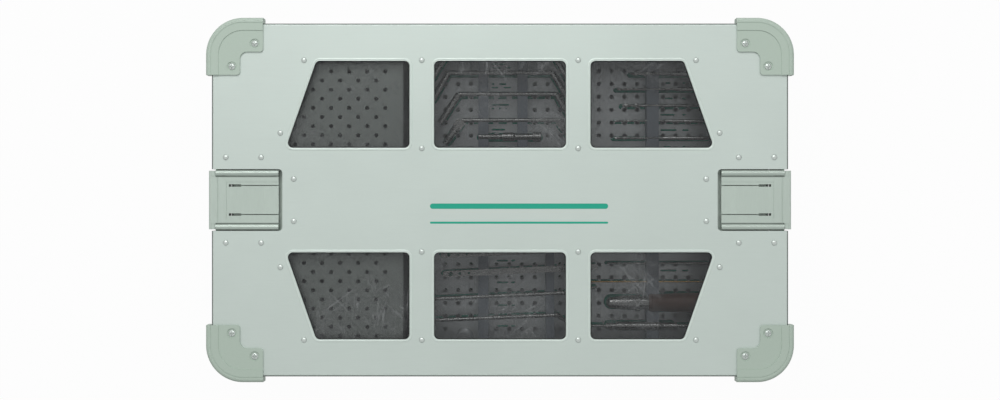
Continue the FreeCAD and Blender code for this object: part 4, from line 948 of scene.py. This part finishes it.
bail = {"wireMm": 1.8, "sides": 14, "bendMm": 4.0, "toWallMm": 3.2, "belowRimMm": 14,
        # in from the wall, half width and rise over the pivot: through the wall, first bend, top of the loop
        "cornersMm": ((-3, 60.5, 0), (3.6, 60.5, 0), (16, 53, 7))}


def bailWire(side):
    # A round wire bent into a low loop, its ends turned out through the tray's end wall.
    low, high = trayBox["upper_tray"]
    wall, pivot = (high - low)[0] / 2 - bail["toWallMm"], high[2] - bail["belowRimMm"]
    corners = [(wall - inwards, y, pivot + rise) for inwards, y, rise in bail["cornersMm"]]
    corners += [(x, -y, z) for x, y, z in corners[::-1]]
    path = roundedPath(corners, bail["bendMm"])
    path = path * (side, 1, 1) + ((low + high)[0] / 2, 0, 0)
    up = np.tile([0.0, 0.0, 1.0], (len(path), 1))
    return tube(path * mm, up, bail["wireMm"] * mm, bail["sides"])


for endName, side in bothEnds[::-1]:
    addPiece("trayBail" + endName, *bailWire(side), satinSteel, "case", "steel",
             stands=("tray_bail_" + endName.lower(),))
print("tray details made")


# Wire: springs on the latch pins

spring = {"coils": 7, "radiusMm": 2.15, "wireMm": 0.42, "halfMm": 7.6, "pinXMm": 262.0, "pinZMm": 112.9,
          "steps": 24, "sides": 8}


def coil(side):
    # A helix about the latch's pin.
    turn = np.linspace(0, 2 * np.pi * spring["coils"], spring["steps"] * spring["coils"])
    y = np.linspace(-spring["halfMm"], spring["halfMm"], len(turn))
    radial = np.stack([np.cos(turn), turn * 0, np.sin(turn)], -1)
    path = radial * spring["radiusMm"] + np.stack([y * 0, y, y * 0], -1)
    path += (side * spring["pinXMm"], 0, spring["pinZMm"])
    return tube(path * mm, radial, spring["wireMm"] * mm, spring["sides"])


for endName, side in bothEnds:
    addPiece("latchSpring" + endName, *coil(side), satinSteel, "lid", "steel",
             stands=("latch_spring_" + endName.lower(),))
print("springs made")


# Studio: white floor, white world, a soft key lamp behind on the left and three weaker ones

studio = {
    "floorMetres": 12.0, "floorSeen": 0.97, "worldStrength": 0.5, "horizonShare": 0.3, "fullUp": 0.7,
    "aim": (0, 0, 0.1),
    # place, size in metres and power in watts
    "lamps": {"key": ((-0.42, 1.25, 1.7), 0.9, 16.2), "top": ((-0.05, 0.6, 1.9), 0.6, 1.2),
              "rightGlint": ((0.56, 1.25, 1.7), 0.42, 4.4), "fill": ((0.9, -0.9, 1.7), 1.6, 0.8)},
}


def seenRays(tree):
    # 1 for rays from the camera, off a gloss or through something clear, 0 for the light on surfaces.
    ray = tree.nodes.new("ShaderNodeLightPath").outputs
    mirrored = calculate(tree, "MAXIMUM", ray["Is Glossy Ray"], ray["Is Transmission Ray"])
    return calculate(tree, "MAXIMUM", ray["Is Camera Ray"], mirrored)


def studioFloor():
    # A floor that is seen nearly white, keeps a faint shadow, and throws back little light.
    material, tree, shader = newMaterial("whiteFloor", (0.5, 0.5, 0.5), 0.0, 0.9)[:3]
    glow = tree.nodes.new("ShaderNodeEmission")
    glow.inputs["Strength"].default_value = 1.0
    mixer = tree.nodes.new("ShaderNodeMixShader")
    tree.links.new(calculate(tree, "MULTIPLY", seenRays(tree), studio["floorSeen"]), mixer.inputs[0])
    tree.links.new(shader.outputs[0], mixer.inputs[1])
    tree.links.new(glow.outputs[0], mixer.inputs[2])
    tree.links.new(mixer.outputs[0], tree.nodes["Material Output"].inputs[0])
    mesh = bpy.data.meshes.new("floor")
    size = studio["floorMetres"]
    corners = [(-size, -size, 0), (size, -size, 0), (size, size, 0), (-size, size, 0)]
    mesh.from_pydata(corners, [], [(0, 1, 2, 3)])
    mesh.materials.append(material)
    floor = bpy.data.objects.new("floor", mesh)
    bpy.context.collection.objects.link(floor)


def worldLight():
    # White where it is seen; as light it is strongest overhead and fades towards the horizon.
    world = bpy.data.worlds.new("studio")
    bpy.context.scene.world = world
    world.use_nodes = True
    tree = world.node_tree
    background = tree.nodes["Background"]
    background.inputs["Color"].default_value = (1, 1, 1, 1)
    up = objectPart(tree, "Object", "Z")
    strength = studio["worldStrength"]
    lit = rangeOf(tree, up, 0.0, studio["fullUp"], strength * studio["horizonShare"], strength)
    tree.links.new(lit, background.inputs["Strength"])
    seen = tree.nodes.new("ShaderNodeBackground")
    seen.inputs["Color"].default_value = (1, 1, 1, 1)
    mixer = tree.nodes.new("ShaderNodeMixShader")
    tree.links.new(seenRays(tree), mixer.inputs[0])
    tree.links.new(background.outputs[0], mixer.inputs[1])
    tree.links.new(seen.outputs[0], mixer.inputs[2])
    tree.links.new(mixer.outputs[0], tree.nodes["World Output"].inputs[0])


def areaLamp(name, place, size, power):
    # A square lamp turned to face the middle of the case.
    lamp = bpy.data.lights.new(name, "AREA")
    lamp.size = size
    lamp.energy = power
    holder = bpy.data.objects.new(name, lamp)
    bpy.context.collection.objects.link(holder)
    holder.location = place
    holder.rotation_euler = (Vector(studio["aim"]) - Vector(place)).to_track_quat("-Z", "Y").to_euler()


studioFloor()
worldLight()
for lampName, settings in studio["lamps"].items():
    areaLamp(lampName, *settings)


# Camera: straight down over the middle of the case
view = {"height": 1.72, "pixelsPerMetre": 1030.0, "imageWidth": 1000, "sensorMm": 36.0}
camera = bpy.data.cameras.new("camera")
camera.sensor_width = view["sensorMm"]
span = view["imageWidth"] / view["pixelsPerMetre"]
camera.lens = view["sensorMm"] * (view["height"] - lidTop) / span
cameraHolder = bpy.data.objects.new("camera", camera)
cameraHolder.location = (0, 0, view["height"])
bpy.context.collection.objects.link(cameraHolder)
bpy.context.scene.camera = cameraHolder
bpy.context.scene.view_settings.view_transform = "Standard"
print("studio and camera set")
